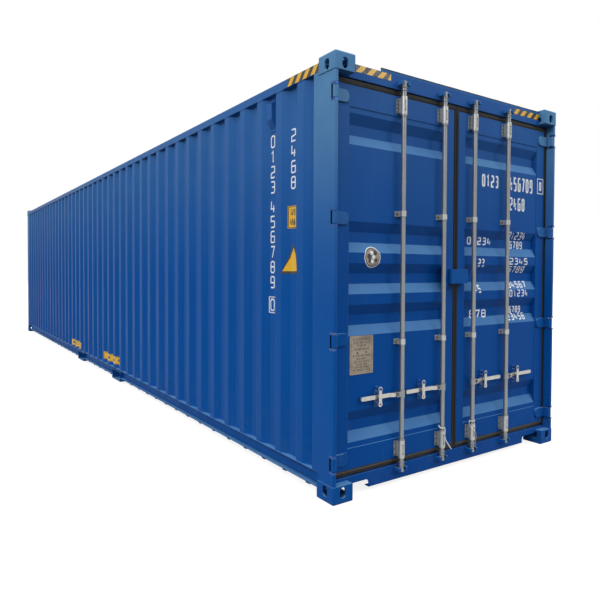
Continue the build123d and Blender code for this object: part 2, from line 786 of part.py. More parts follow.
def cam_keeper(y, z):
    """Pair of jaws with lips in front of the cam."""
    tall = cam_height - 2 * keeper_margin
    z0 = z + keeper_margin
    jaws = []
    for side in (-1, 1):
        wall = sorted((y + side * keeper_wall_y, y + side * (keeper_wall_y + keeper_thickness)))
        lip = sorted((y + side * keeper_lip_y, y + side * (keeper_wall_y + keeper_thickness)))
        x_lip = bar_x + keeper_lip_x
        jaw = block(sill_x, x_lip + keeper_thickness, wall[0], wall[1], z0, z0 + tall)
        jaws.append(jaw + block(x_lip, x_lip + keeper_thickness, lip[0], lip[1], z0, z0 + tall))
    return jaws


def lock_hood():
    """Open-backed cover on the right leaf that reaches over the gap."""
    t = hood_plate
    solid = block(leaf_x, hood_front, hood_left_y, hood_right_y, hood_z, hood_top)
    solid -= block(leaf_x - 1, hood_front - t, hood_left_y + t, hood_right_y - t, hood_z - 1, hood_top - t)
    return solid - block(leaf_x - 1, leaf_x + hood_gap, hood_left_y - 1, leaf_inner_y, hood_z - 1, hood_top + 1)


def lock_bracket():
    """Bracket on the left leaf behind the cover."""
    t = hood_plate
    x1 = hood_front - t - hood_gap
    y0 = hood_left_y + t + hood_gap
    y1 = lock_bracket_right_y
    plate = block(leaf_x, leaf_x + t, lock_bracket_left_y, y1, lock_bracket_z, lock_bracket_top)
    plate += block(leaf_x, leaf_x + lock_bracket_depth, lock_bracket_left_y, hood_left_y - lock_clearance,
                   lock_bracket_z, lock_bracket_top)
    box = block(leaf_x, x1, y0, y1, hood_z + hood_gap, hood_top - t - hood_gap)
    return plate + (box - block(leaf_x + t, x1 - t, y0 + t, y1 - t, 0, height))


# Colours of the finished pieces
blue = (0.05, 0.2, 0.42)
zinc = (0.6, 0.62, 0.58)
rubber = (0.05, 0.05, 0.05)
plywood = (0.45, 0.28, 0.16)

# Write the fixed frame
save("bottom_corner_castings", four_castings(False), blue)
save("top_corner_castings", four_castings(True), blue)
save("rear_corner_posts", both_sides(rear_post()), blue)
save("front_corner_posts", both_sides(front_post()), blue)
save("top_side_rails", both_sides(top_side_rail()), blue)
save("bottom_side_rails", both_sides(bottom_side_rail()), blue)
save("door_sill", door_sill(), blue)
save("door_header", door_header(), blue)
save("header_rim", header_rim(), blue)
save("front_bottom_rail", both_sides(front_bottom_rail()), blue)
save("tunnel_lintel", tunnel_lintel(), blue)
save("front_top_rail", front_top_rail(), blue)
save("roof_end_plate", roof_end_plate(), blue)
right_wall, left_wall = both_sides(side_wall())
save("right_side_wall", right_wall, blue)
save("left_side_wall", left_wall, blue)
save("front_wall", front_wall(), blue)
save("roof_panel", roof_panel(), blue)
save("floor", floor, plywood)
save("cross_members", cross_members(), blue)
save("fork_pockets", [fork_pocket(x) for x in pocket_xs], blue)
tunnel_top, tunnel_side = gooseneck_tunnel()
save("gooseneck_tunnel_top", tunnel_top, blue)
save("gooseneck_tunnel_sides", both_sides(tunnel_side), blue)
vent = ventilator()
save("side_vents", [mirror(vent, about=Plane.XZ), vent], blue)
bar_ys = [-bar_outer_y, -bar_inner_y, bar_inner_y, bar_outer_y]
keepers = []
for bar_y in bar_ys:
    keepers += cam_keeper(bar_y, bar_z) + cam_keeper(bar_y, bar_top - cam_height)
save("cam_keepers", keepers, zinc)
pins = []
for hinge_z in hinge_zs:
    pins += both_sides(hinge_pin(hinge_z))
save("hinge_pins", pins, blue)

# Write the two doors with their bars, handles and catches
for side_name, sign, catch_reach in (("left", -1, catch_reach_left), ("right", 1, catch_reach_right)):
    def placed(piece):
        """The piece on this door's side."""
        return piece if sign > 0 else mirror(piece, about=Plane.XZ)

    save(f"{side_name}_door_frame", placed(leaf_frame()), blue)
    save(f"{side_name}_door_panel", placed(leaf_panel()), blue)
    save(f"{side_name}_door_gasket", placed(leaf_gasket()), rubber)
    save(f"{side_name}_hinge_blades", [placed(hinge_blade(z)) for z in hinge_zs], blue)
    fittings = []
    for bar_y in (bar_outer_y, bar_inner_y):
        fittings.append(placed(bar_bearing(bar_y, bearing_top_z)))
        fittings.append(placed(bar_bearing(bar_y, bearing_bottom_z)))
        fittings.append(placed(bar_guide(bar_y, guide_upper_z)))
        fittings.append(placed(bar_guide(bar_y, guide_lower_z)))
        fittings.append(placed(handle_retainer(bar_y + catch_reach)))
    save(f"{side_name}_door_fittings", fittings, zinc)
    for place, bar_y in (("outer", bar_outer_y), ("inner", bar_inner_y)):
        save(f"{side_name}_{place}_bar", placed(locking_bar(bar_y)), zinc)
        save(f"{side_name}_{place}_handle", placed(bar_handle(bar_y)), zinc)
        save(f"{side_name}_{place}_catch", placed(handle_catch(bar_y + catch_reach)), zinc)
save("right_lock_hood", lock_hood(), blue)
save("left_lock_bracket", lock_bracket(), blue)
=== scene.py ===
import json
import math

import bmesh
import bpy
from mathutils import Matrix, Vector
from mathutils.bvhtree import BVHTree


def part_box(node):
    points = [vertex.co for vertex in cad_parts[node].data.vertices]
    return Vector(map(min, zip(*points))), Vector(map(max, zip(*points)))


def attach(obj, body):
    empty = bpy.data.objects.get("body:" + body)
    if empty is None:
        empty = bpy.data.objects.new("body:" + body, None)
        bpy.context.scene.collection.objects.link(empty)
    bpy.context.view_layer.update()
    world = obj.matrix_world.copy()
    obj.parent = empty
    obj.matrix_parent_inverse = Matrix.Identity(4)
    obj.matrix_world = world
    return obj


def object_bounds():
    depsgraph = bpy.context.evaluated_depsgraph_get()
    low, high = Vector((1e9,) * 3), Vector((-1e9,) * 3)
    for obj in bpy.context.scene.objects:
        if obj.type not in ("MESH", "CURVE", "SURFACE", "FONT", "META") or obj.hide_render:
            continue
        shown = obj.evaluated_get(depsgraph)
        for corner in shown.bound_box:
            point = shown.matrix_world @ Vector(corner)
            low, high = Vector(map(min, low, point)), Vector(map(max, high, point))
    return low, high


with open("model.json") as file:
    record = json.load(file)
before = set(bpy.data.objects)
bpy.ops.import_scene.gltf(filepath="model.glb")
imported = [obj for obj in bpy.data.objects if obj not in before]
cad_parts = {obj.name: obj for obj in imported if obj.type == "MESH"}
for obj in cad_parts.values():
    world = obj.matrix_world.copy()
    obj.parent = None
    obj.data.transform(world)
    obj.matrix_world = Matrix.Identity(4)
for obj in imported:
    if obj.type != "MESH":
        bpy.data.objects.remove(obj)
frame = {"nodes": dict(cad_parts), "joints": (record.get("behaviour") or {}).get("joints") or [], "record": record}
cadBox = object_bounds()
end = cadBox[1].x
scene = bpy.context.scene
nodes = frame["nodes"]
joints = {joint["name"]: joint for joint in frame["joints"]}
doors = {"left": -1, "right": 1}
barPlaces = [(side, place) for side in doors for place in ("outer", "inner")]
print("frame loaded:", len(nodes), "nodes")


# Small helpers for shader and geometry trees
def srgb(r, g, b):
    # a 0 to 255 colour as the eye reads it, as the linear values that a shader wants
    return tuple(((c / 255 + 0.055) / 1.055) ** 2.4 if c > 10 else c / 255 / 12.92 for c in (r, g, b)) + (1.0,)


def feed(tree, node, values):
    # links the inputs that are given a socket, and sets the others
    for key, value in values.items():
        if isinstance(value, bpy.types.NodeSocket):
            tree.links.new(value, node.inputs[key])
        else:
            node.inputs[key].default_value = value


def addNode(tree, kind, inputs=None, **settings):
    made = tree.nodes.new(kind)
    for key, value in settings.items():
        setattr(made, key, value)
    feed(tree, made, inputs or {})
    return made


def newGroup(name, kind, inputs, outputs):
    # a start value tells a socket's kind, and a word names the kind of one that has no start value
    tree = bpy.data.node_groups.new(name, kind)
    kinds = {tuple: "Color", float: "Float", int: "Int"}
    for side, sockets in (("INPUT", inputs), ("OUTPUT", outputs)):
        for label, start in sockets.items():
            plain = isinstance(start, str)
            sort = start if plain else kinds[type(start)]
            socket = tree.interface.new_socket(label, in_out=side, socket_type=f"NodeSocket{sort}")
            if not plain:
                socket.default_value = start
    return tree, tree.nodes.new("NodeGroupInput").outputs, tree.nodes.new("NodeGroupOutput")


def useGroup(tree, group, values):
    made = tree.nodes.new("ShaderNodeGroup")
    made.node_tree = group
    feed(tree, made, values)
    return made.outputs


def blankTree(owner):
    owner.use_nodes = True
    owner.node_tree.nodes.clear()
    return owner.node_tree


def newMaterial(name, viewport):
    made = bpy.data.materials.new(name)
    made.diffuse_color = viewport
    tree = blankTree(made)
    shader = tree.nodes.new("ShaderNodeBsdfPrincipled")
    addNode(tree, "ShaderNodeOutputMaterial", {"Surface": shader.outputs["BSDF"]})
    return made, tree, shader


def noise(tree, vector, scale, detail=3.0, roughness=0.5):
    return addNode(tree, "ShaderNodeTexNoise",
                   {"Vector": vector, "Scale": scale, "Detail": detail, "Roughness": roughness}).outputs["Fac"]


def ramp(tree, value, low, high):
    # 0 below low, 1 above high
    return addNode(tree, "ShaderNodeMapRange", {"Value": value, "From Min": low, "From Max": high},
                   interpolation_type="SMOOTHSTEP").outputs["Result"]


def calc(tree, operation, a, b=0.0):
    return addNode(tree, "ShaderNodeMath", {0: a, 1: b}, operation=operation).outputs[0]


def inverse(tree, value):
    return calc(tree, "SUBTRACT", 1.0, value)


def product(tree, *values):
    total = values[0]
    for value in values[1:]:
        total = calc(tree, "MULTIPLY", total, value)
    return total


def plus(tree, base, *factors):
    # the base and the product of the factors, added up
    return calc(tree, "ADD", base, product(tree, *factors))


def mix(tree, factor, a, b, blend="MIX"):
    return addNode(tree, "ShaderNodeMix", {0: factor, 6: a, 7: b}, data_type="RGBA", blend_type=blend).outputs[2]


def laid(tree, colour, over, *masks):
    # the colour, with another over it where every mask is 1
    return mix(tree, product(tree, *masks), colour, over)


def toned(tree, colour, value):
    # the colour made lighter or darker by a value around 1
    shade = addNode(tree, "ShaderNodeCombineColor", {0: value, 1: value, 2: value})
    return mix(tree, 1.0, colour, shade.outputs[0], "MULTIPLY")


def split(tree, vector):
    return addNode(tree, "ShaderNodeSeparateXYZ", {0: vector}).outputs


def stretched(tree, x=1, y=1, z=1):
    where = tree.nodes.new("ShaderNodeTexCoord")
    return addNode(tree, "ShaderNodeMapping", {"Vector": where.outputs["Object"], "Scale": (x, y, z)}).outputs["Vector"]


def upward(tree, low, high):
    # 0 on faces that are upright or look down, 1 on faces that look up
    own = tree.nodes.new("ShaderNodeTexCoord")
    return ramp(tree, split(tree, own.outputs["Normal"])["Z"], low, high)


def corners(tree, reach, tight=0.35, free=0.85):
    # 1 in tight inside corners of the piece, 0 on open faces; the mask of the painted shade in corners
    made = addNode(tree, "ShaderNodeAmbientOcclusion", {"Distance": reach}, samples=6, only_local=True)
    return inverse(tree, ramp(tree, made.outputs["AO"], tight, free))


def bumped(tree, strength, distance, height, **more):
    return addNode(tree, "ShaderNodeBump", {"Strength": strength, "Distance": distance, "Height": height,
                                            **more}).outputs["Normal"]


# Weathering of every painted piece, with painted sheen, painted highlights and painted shade; a grain is a noise's
# scale and detail, and its roughness where that isn't 0.5
wearAndPaintedLight = dict(
    paleTint=(0.19, 0.41, 0.55, 1.0), ledge=(0.23, 0.50, 0.70, 1.0), rain=(0.13, 0.2, 0.3, 1.0),
    dust=(0.2, 0.2, 0.18, 1.0), edgeHighlight=(0.16, 0.36, 0.54, 1.0), cornerShade=(0.008, 0.022, 0.06, 1.0),
    palingHeights=(1.2, 3.2), postWidths=(1.0, 1.06), postBlend=0.03, ledgeSlopes=(0.12, 0.75), dustHeight=0.75,
    edgeTurns=(0.02, 0.2), cornerReach=0.03, roughness=0.42, slowGrain=(1.1, 4.0), patchGrain=(2.7, 4.0),
    streakGrain=(2.2, 5.0, 0.6), speckGrain=(14.0, 6.0, 0.65), wornGrain=(23.0, 5.0, 0.7), dentGrain=(2.3, 2.0),
    skinGrain=(160.0, 2.0), skinShare=0.02, streakStretch=(9, 9, 0.35))


def buildWearAndPaintedLight(look):
    # slow tone changes, paler towards the top and on the end posts, a painted sheen on faces that look up, rain
    # streaks, low dust, painted highlights on edges, painted shade in inside corners and scuffs down to the primer
    tree, given, made = newGroup("wearAndLightGroup", "ShaderNodeTree", {
        "paint": (0.0, 0.1, 0.3, 1.0), "bare": (0.1, 0.1, 0.1, 1.0), "tone": 0.08, "paling": 0.1, "postPaling": 0.0,
        "postsFrom": 5.9, "ledges": 0.2, "streaks": 0.1, "dust": 0.2, "scuffs": 0.3, "edges": 0.3, "edge": 0.004,
        "cornerShade": 0.5}, {"color": "Color", "roughness": "Float", "height": "Float", "normal": "Vector"})
    even = stretched(tree)
    at = split(tree, even)
    slow = noise(tree, even, *look["slowGrain"])
    patchy = plus(tree, 0.6, noise(tree, even, *look["patchGrain"]))
    # a paler tint towards the top and on the end posts
    atPost = product(tree, ramp(tree, calc(tree, "ABSOLUTE", at["X"]), given["postsFrom"],
                                plus(tree, given["postsFrom"], look["postBlend"])),
                     ramp(tree, calc(tree, "ABSOLUTE", at["Y"]), *look["postWidths"]))
    share = plus(tree, given["paling"], atPost, given["postPaling"])
    high = ramp(tree, at["Z"], *look["palingHeights"])
    # a painted sheen on faces that look up
    ledge = upward(tree, *look["ledgeSlopes"])
    streak = ramp(tree, noise(tree, stretched(tree, *look["streakStretch"]), *look["streakGrain"]), 0.52, 0.78)
    low = inverse(tree, ramp(tree, at["Z"], 0.0, look["dustHeight"]))
    speck = ramp(tree, noise(tree, even, *look["speckGrain"]), 0.4, 0.72)
    rounded = addNode(tree, "ShaderNodeBevel", {"Radius": given["edge"]}, samples=4).outputs["Normal"]
    flat = tree.nodes.new("ShaderNodeNewGeometry").outputs["Normal"]
    turn = addNode(tree, "ShaderNodeVectorMath", {0: rounded, 1: flat}, operation="DOT_PRODUCT")
    edge = ramp(tree, inverse(tree, turn.outputs["Value"]), *look["edgeTurns"])
    worn = ramp(tree, noise(tree, even, *look["wornGrain"]), 0.5, 0.62)
    colour = toned(tree, given["paint"], plus(tree, 1.0, calc(tree, "SUBTRACT", slow, 0.5), given["tone"]))
    for over, *masks in ((look["paleTint"], high, patchy, share), (look["ledge"], ledge, patchy, given["ledges"]),
                         (look["rain"], streak, given["streaks"]), (look["dust"], low, speck, given["dust"]),
                         # lighter edges: a painted highlight
                         (look["edgeHighlight"], edge, given["edges"]),
                         # darker inside corners: painted shade
                         (look["cornerShade"], corners(tree, look["cornerReach"]), given["cornerShade"]),
                         (given["bare"], edge, worn, given["scuffs"])):
        colour = laid(tree, colour, over, *masks)
    rough = plus(tree, look["roughness"], slow, 0.14)
    dents, skin = [noise(tree, even, *look[grain]) for grain in ("dentGrain", "skinGrain")]
    feed(tree, made, {"color": colour, "roughness": plus(tree, rough, low, speck, 0.3), "normal": rounded,
                      "height": plus(tree, dents, skin, look["skinShare"])})
    return tree


# Hot-dip zinc of the door gear, with painted shade in its inside corners
zincAgeAndShade = dict(stained=(0.2, 0.19, 0.17, 1.0), cornerShade=(0.02, 0.02, 0.022, 1.0), cornerShadeShare=0.85, cornerReach=0.02,
               dullGrain=(7.0, 5.0, 0.6), runGrain=(1.5, 4.0), runStretch=(30, 30, 2), pitGrain=(60.0, 2.0))


def buildZinc(look):
    # crystal flakes, dull patches, stains that run down, painted shade in inside corners, and paint between two heights
    tree, given, made = newGroup("zincCoat", "ShaderNodeTree", {
        "zinc": (0.5, 0.5, 0.5, 1.0), "flake": 60.0, "stain": 0.3, "paint": (0.0, 0.1, 0.3, 1.0), "paintFrom": 0.0,
        "paintTo": 0.0}, {"color": "Color", "roughness": "Float", "bare": "Float", "height": "Float"})
    even = stretched(tree)
    flakes = addNode(tree, "ShaderNodeTexVoronoi", {"Vector": even, "Scale": given["flake"]})
    value = addNode(tree, "ShaderNodeSeparateColor", {0: flakes.outputs["Color"]}).outputs[0]
    dull = ramp(tree, noise(tree, even, *look["dullGrain"]), 0.42, 0.7)
    run = ramp(tree, noise(tree, stretched(tree, *look["runStretch"]), *look["runGrain"]), 0.5, 0.75)
    level = split(tree, even)["Z"]
    painted = product(tree, calc(tree, "GREATER_THAN", level, given["paintFrom"]),
                      calc(tree, "LESS_THAN", level, given["paintTo"]))
    colour = toned(tree, given["zinc"], plus(tree, 0.93, value, 0.1))
    colour = laid(tree, colour, look["stained"], run, given["stain"])
    # darker inside corners: painted shade
    colour = laid(tree, colour, look["cornerShade"], corners(tree, look["cornerReach"]), look["cornerShadeShare"])
    feed(tree, made, {"color": laid(tree, colour, given["paint"], painted), "bare": inverse(tree, painted),
                      "roughness": plus(tree, 0.3, dull, 0.2),
                      "height": plus(tree, dull, noise(tree, even, *look["pitGrain"]), 0.3)})
    return tree


wearAndLightGroup = buildWearAndPaintedLight(wearAndPaintedLight)
zincCoat = buildZinc(zincAgeAndShade)
print("shader groups built")

# Paints; the end posts start at postsFrom, and are made paler than the walls; each paint also sets its share of painted
# sheen, painted highlight on edges and painted shade in corners
commonWearAndShade = dict(bare=srgb(120, 84, 70), postsFrom=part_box("rear_corner_posts")[0].x - 0.02, postPaling=0.0, edge=0.005,
                  tone=0.2, streaks=0.05, cornerShade=0.6)
paints = {
    "blue_paint": dict(paint=srgb(3, 77, 151), tone=0.22, paling=0.14, postPaling=0.32, ledges=0.3, streaks=0.07,
                       dust=0.08, scuffs=0.2, edges=0.2, dents=0.25),
    "door_paint": dict(paint=srgb(2, 72, 147), paling=0.1, ledges=0.4, dust=0.04, scuffs=0.1, edges=0.2, dents=0.25),
    "frame_paint": dict(paint=srgb(2, 70, 146), paling=0.08, ledges=0.05, dust=0.08, scuffs=0.15, edges=0.06, dents=0.25),
    "underframe_paint": dict(paint=srgb(12, 34, 62), tone=0.3, paling=0.0, ledges=0.1, streaks=0.1, dust=0.5,
                             scuffs=0.3, edges=0.0, dents=0.2),
    "vent_paint": dict(paint=srgb(8, 78, 152), tone=0.1, paling=0.1, ledges=0.3, dust=0.0, scuffs=0.3, edges=0.25,
                       cornerShade=0.5, dents=0.05),
}

# Zincs; the handle retainers of the door fittings are painted with the door
zincs = {
    "galvanised_gear": dict(zinc=srgb(134, 137, 138), flake=90.0, stain=0.3, metal=0.7),
    "door_fittings": dict(zinc=srgb(178, 178, 174), flake=90.0, stain=0.3, metal=0.6, paint=srgb(2, 70, 146),
                          paintFrom=0.5, paintTo=0.8),
    # the handles and catches get a lighter zinc, a painted highlight
    "highlighted_gear": dict(zinc=srgb(186, 184, 178), flake=90.0, stain=0.25, metal=0.65),
    "pin_steel": dict(zinc=srgb(24, 74, 140), flake=120.0, stain=0.2, metal=0.6),
}

# Vinyl films and nylon
films = {
    "white_marking": dict(colour=srgb(226, 230, 234), soiled=srgb(150, 160, 172), rough=0.4),
    "yellow_marking": dict(colour=srgb(224, 170, 0), soiled=srgb(184, 134, 20), rough=0.35),
    "black_marking": dict(colour=srgb(28, 26, 28), soiled=srgb(52, 46, 42), rough=0.35),
    "white_nylon": dict(colour=srgb(222, 224, 222), soiled=srgb(176, 176, 170), rough=0.45),
}
filmGrain = (26.0, 6.0, 0.65)
# the rubber's dust colour is also a painted sheen on the lips that look up
rubber = dict(black=srgb(12, 13, 16), bloom=srgb(34, 32, 31), dust=srgb(92, 86, 82), grain=(9.0, 5.0, 0.65))
plywood = dict(dark=srgb(116, 74, 44), light=srgb(172, 124, 80), worn=srgb(84, 60, 44), joint=srgb(40, 28, 20),
               length=2.4, width=1.16, gap=0.006, grain=(3.0, 7.0, 0.62), stretch=(0.8, 14, 14), patches=(1.7, 3.0))
plateMetal = dict(clean=srgb(151, 138, 121), stained=srgb(116, 104, 92), metal=0.5, grain=(3.0, 4.0),
                  stretch=(40, 4, 160), stains=(12.0, 5.0))


def makePaint(name, dents, **look):
    made, tree, shader = newMaterial(name, look["paint"])
    # the paint's wear, with its painted sheen, painted highlights and painted shade
    worn = useGroup(tree, wearAndLightGroup, {**commonWearAndShade, **look})
    feed(tree, shader, {"Base Color": worn["color"], "Roughness": worn["roughness"], "Specular IOR Level": 0.08,
                        "Normal": bumped(tree, dents, 0.01, worn["height"], Normal=worn["normal"])})
    return made


def makeZinc(name, metal, **look):
    made, tree, shader = newMaterial(name, look["zinc"])
    coat = useGroup(tree, zincCoat, look)
    feed(tree, shader, {"Base Color": coat["color"], "Roughness": coat["roughness"],
                        "Metallic": product(tree, coat["bare"], metal) if "paint" in look else metal,
                        "Normal": bumped(tree, 0.04, 0.002, coat["height"])})
    return made


def makeFilm(name, colour, soiled, rough):
    # slightly uneven, with soiled patches
    made, tree, shader = newMaterial(name, colour)
    spots = ramp(tree, noise(tree, stretched(tree), *filmGrain), 0.5, 0.8)
    feed(tree, shader, {"Base Color": laid(tree, colour, soiled, spots, 0.55),
                        "Roughness": plus(tree, rough, spots, 0.25)})
    return made


def makeRubber(name, look):
    # a gray bloom in patches, and dust with a painted sheen on what looks up
    made, tree, shader = newMaterial(name, look["black"])
    bloom = ramp(tree, noise(tree, stretched(tree), *look["grain"]), 0.45, 0.8)
    plain = laid(tree, look["black"], look["bloom"], bloom)
    feed(tree, shader, {"Base Color": laid(tree, plain, look["dust"], upward(tree, 0.1, 0.8), 0.8),
                        "Roughness": plus(tree, 0.5, bloom, 0.25), "Specular IOR Level": 0.25,
                        "Normal": bumped(tree, 0.15, 0.002, bloom)})
    return made


def makePlywood(name, look):
    # long grain, tyre-dark patches and a dark line where two boards meet
    made, tree, shader = newMaterial(name, look["light"])
    grain = noise(tree, stretched(tree, *look["stretch"]), *look["grain"])
    patch = noise(tree, stretched(tree), *look["patches"])
    colour = laid(tree, look["dark"], look["light"], ramp(tree, grain, 0.3, 0.7))
    colour = laid(tree, colour, look["worn"], ramp(tree, patch, 0.45, 0.75), 0.35)
    at = split(tree, stretched(tree))
    lines = [calc(tree, "LESS_THAN", calc(tree, "PINGPONG", at[axis], look[size] / 2), look["gap"] / 2)
             for axis, size in (("X", "length"), ("Y", "width"))]
    feed(tree, shader, {"Base Color": laid(tree, colour, look["joint"], calc(tree, "MAXIMUM", *lines), 0.8),
                        "Roughness": plus(tree, 0.42, grain, 0.3), "Normal": bumped(tree, 0.25, 0.001, grain)})
    return made


def makePlate(name, look):
    # dull engraved plate, brushed along its length
    made, tree, shader = newMaterial(name, look["clean"])
    brushed = noise(tree, stretched(tree, *look["stretch"]), *look["grain"])
    stain = ramp(tree, noise(tree, stretched(tree), *look["stains"]), 0.4, 0.75)
    feed(tree, shader, {"Base Color": laid(tree, look["clean"], look["stained"], stain), "Metallic": look["metal"],
                        "Roughness": plus(tree, 0.35, brushed, 0.25), "Normal": bumped(tree, 0.1, 0.0005, brushed)})
    return made


materials = {name: makePaint(name, **look) for name, look in paints.items()}
materials.update({name: makeZinc(name, **look) for name, look in zincs.items()})
materials.update({name: makeFilm(name, **look) for name, look in films.items()})
materials["seal_rubber"] = makeRubber("seal_rubber", rubber)
materials["plywood_floor"] = makePlywood("plywood_floor", plywood)
materials["plate_alloy"] = makePlate("plate_alloy", plateMetal)

# Every node gets its slot's material, apart from a few with a finish of their own
finishOf = {entry["node"]: entry["material_slot"] for entry in frame["record"]["subparts"]}
finishOf["cam_keepers"] = "blue_paint"   # welded on before the paint
finishOf["door_header"] = finishOf["door_sill"] = "frame_paint"
for side, place in barPlaces:
    finishOf[f"{side}_door_fittings"] = "door_fittings"
    finishOf[f"{side}_{place}_handle"] = finishOf[f"{side}_{place}_catch"] = "highlighted_gear"   # a lighter zinc: painted highlight
for name, piece in nodes.items():
    piece.data.materials.clear()
    piece.data.materials.append(materials[finishOf[name]])
    for face in piece.data.polygons:
        face.material_index = 0
print("materials:", len(materials))


# Areas are given as u0, u1, v0, v1
def rect(u0, u1, v0, v1):
    return [(u0, v0), (u1, v0), (u1, v1), (u0, v1)]


def inset(area, by):
    u0, u1, v0, v1 = area
    return u0 + by, u1 - by, v0 + by, v1 - by


def addObject(name, data):
    made = bpy.data.objects.new(name, data)
    scene.collection.objects.link(made)
    return made


# Camera at the photograph's place
view = dict(place=(8.896, -3.367, 1.511), forward=(-0.8211, 0.5703, -0.0225), up=(-0.0210, 0.0092, 0.9997),
            focal=558.5, centre=(307.7, 282.2), frame=600.0, sensor=36.0, clip=200.0)


def makeCamera(look):
    data = bpy.data.cameras.new("camera")
    made = addObject("camera", data)
    back = -Vector(look["forward"]).normalized()
    right = Vector(look["up"]).cross(back).normalized()
    up = back.cross(right)
    made.matrix_world = Matrix.Translation(look["place"]) @ Matrix((right, up, back)).transposed().to_4x4()
    data.sensor_width = look["sensor"]
    data.lens = look["focal"] / look["frame"] * look["sensor"]
    data.shift_x = (look["frame"] / 2 - look["centre"][0]) / look["frame"]
    data.shift_y = (look["centre"][1] - look["frame"] / 2) / look["frame"]
    data.clip_end = look["clip"]
    scene.camera = made


makeCamera(view)

# Floor, sky and lamps
white = (1.0, 1.0, 1.0, 1.0)
studio = dict(floorHalf=60.0, floorLevel=-0.002, floorShade=0.3, floorGlow=0.84, bounceShade=0.05,
              skyTop=2.1, skySide=0.45, skyTint=(0.95, 0.98, 1.0, 1.0),
              lamps=[("keyPanel", (9.0, -13.0, 9.0), (4.0, -1.0, 1.3), 3.0, 620.0),
                     ("doorPanel", (17.0, 9.0, 9.0), (6.0, 0.0, 1.4), 3.5, 320.0)])


def showWhere(tree, seen, lighting, shown, kind):
    # what the camera and reflections see, and apart from it what lights the object
    pick = addNode(tree, "ShaderNodeMixShader", {0: seen, 1: lighting.outputs[0], 2: shown.outputs[0]})
    addNode(tree, f"ShaderNodeOutput{kind}", {"Surface": pick.outputs[0]})


def makeFloor(look):
    half = look["floorHalf"]
    mesh = bpy.data.meshes.new("floorSheet")
    mesh.from_pydata([(x, y, look["floorLevel"]) for x, y in rect(-half, half, -half, half)], [], [(0, 1, 2, 3)])
    surface = bpy.data.materials.new("paleFloor")
    tree = blankTree(surface)
    ray = tree.nodes.new("ShaderNodeLightPath").outputs
    seen = calc(tree, "MAXIMUM", ray["Is Camera Ray"], ray["Is Glossy Ray"])
    plain, bounce = [addNode(tree, "ShaderNodeBsdfDiffuse", {"Color": (look[shade],) * 3 + (1.0,)})
                     for shade in ("floorShade", "bounceShade")]
    glow = addNode(tree, "ShaderNodeEmission", {"Color": white, "Strength": look["floorGlow"]})
    both = addNode(tree, "ShaderNodeAddShader", {0: plain.outputs[0], 1: glow.outputs[0]})
    showWhere(tree, seen, bounce, both, "Material")
    mesh.materials.append(surface)
    addObject("floorSheet", mesh)


def makeSky(look):
    scene.world = bpy.data.worlds.new("studioSky")
    tree = blankTree(scene.world)
    ray = tree.nodes.new("ShaderNodeLightPath").outputs
    where = tree.nodes.new("ShaderNodeTexCoord")
    rise = ramp(tree, split(tree, where.outputs["Generated"])["Z"], 0.0, 1.0)
    strength = addNode(tree, "ShaderNodeMapRange",
                       {"Value": rise, "To Min": look["skySide"], "To Max": look["skyTop"]}).outputs["Result"]
    light = addNode(tree, "ShaderNodeBackground", {"Color": look["skyTint"], "Strength": strength})
    pale = addNode(tree, "ShaderNodeBackground", {"Color": white, "Strength": 1.0})
    seen = calc(tree, "MAXIMUM", ray["Is Camera Ray"], ray["Is Glossy Ray"])
    showWhere(tree, calc(tree, "MAXIMUM", seen, ray["Is Transmission Ray"]), light, pale, "World")


def makeLamp(name, place, aim, size, power):
    data = bpy.data.lights.new(name, "AREA")
    data.shape = "SQUARE"
    data.size = size
    data.energy = power
    away = (Vector(aim) - Vector(place)).normalized()
    made = addObject(name, data)
    made.matrix_world = Matrix.Translation(place) @ away.to_track_quat("-Z", "Y").to_matrix().to_4x4()


makeFloor(studio)
makeSky(studio)
for lamp in studio["lamps"]:
    makeLamp(*lamp)
scene.view_settings.view_transform = "Standard"
print("stage set")


# Tools for added pieces
def addPiece(name, data, slotName, body):
    data.name = name
    data.materials.clear()
    data.materials.append(materials[slotName])
    made = addObject(name, data)
    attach(made, body)
    return made


def meshOf(bm, name):
    bmesh.ops.recalc_face_normals(bm, faces=bm.faces)
    mesh = bpy.data.meshes.new(name)
    bm.to_mesh(mesh)
    bm.free()
    return mesh


def pointMesh(places, way):
    # loose points, all with the direction that their heads face
    mesh = bpy.data.meshes.new("places")
    mesh.from_pydata([tuple(p) for p in places], [], [])
    facing = mesh.attributes.new("way", "FLOAT_VECTOR", "POINT")
    facing.data.foreach_set("vector", list(way) * len(places))
    return mesh


def lineMesh(paths, step):
    # a chain of edges along each path, with points added so that none is longer than the step
    verts, edges = [], []
    for path in paths:
        chain = [Vector(path[0])]
        for after in path[1:]:
            before = chain[-1].copy()
            parts = max(1, math.ceil((Vector(after) - before).length / step))
            chain += [before.lerp(Vector(after), i / parts) for i in range(1, parts + 1)]
        start = len(verts)
        verts += chain
        edges += [(start + i, start + i + 1) for i in range(len(chain) - 1)]
    mesh = bpy.data.meshes.new("paths")
    mesh.from_pydata(verts, edges, [])
    return mesh


def loop(points):
    return list(points) + [points[0]]


def circle(u, v, radius, count):
    turns = [math.tau * i / count for i in range(count)]
    return [(u + radius * math.cos(a), v + radius * math.sin(a)) for a in turns]


def spread(low, high, count):
    return [low + (high - low) * i / (count - 1) for i in range(count)]


def finalMesh(made):
    # the object's shape with its modifiers, as a plain mesh; the object itself goes
    mesh = bpy.data.meshes.new_from_object(made.evaluated_get(bpy.context.evaluated_depsgraph_get()))
    bpy.data.objects.remove(made)
    return mesh


def grow(mesh, tree, values):
    # runs a geometry tree over a mesh and gives back the plain mesh that it makes
    seed = addObject("seed", mesh)
    modifier = seed.modifiers.new("grow", "NODES")
    modifier.node_group = tree
    for item in tree.interface.items_tree:
        if item.item_type == "SOCKET" and item.in_out == "INPUT" and item.name in values:
            modifier[item.identifier] = values[item.name]
    return finalMesh(seed)


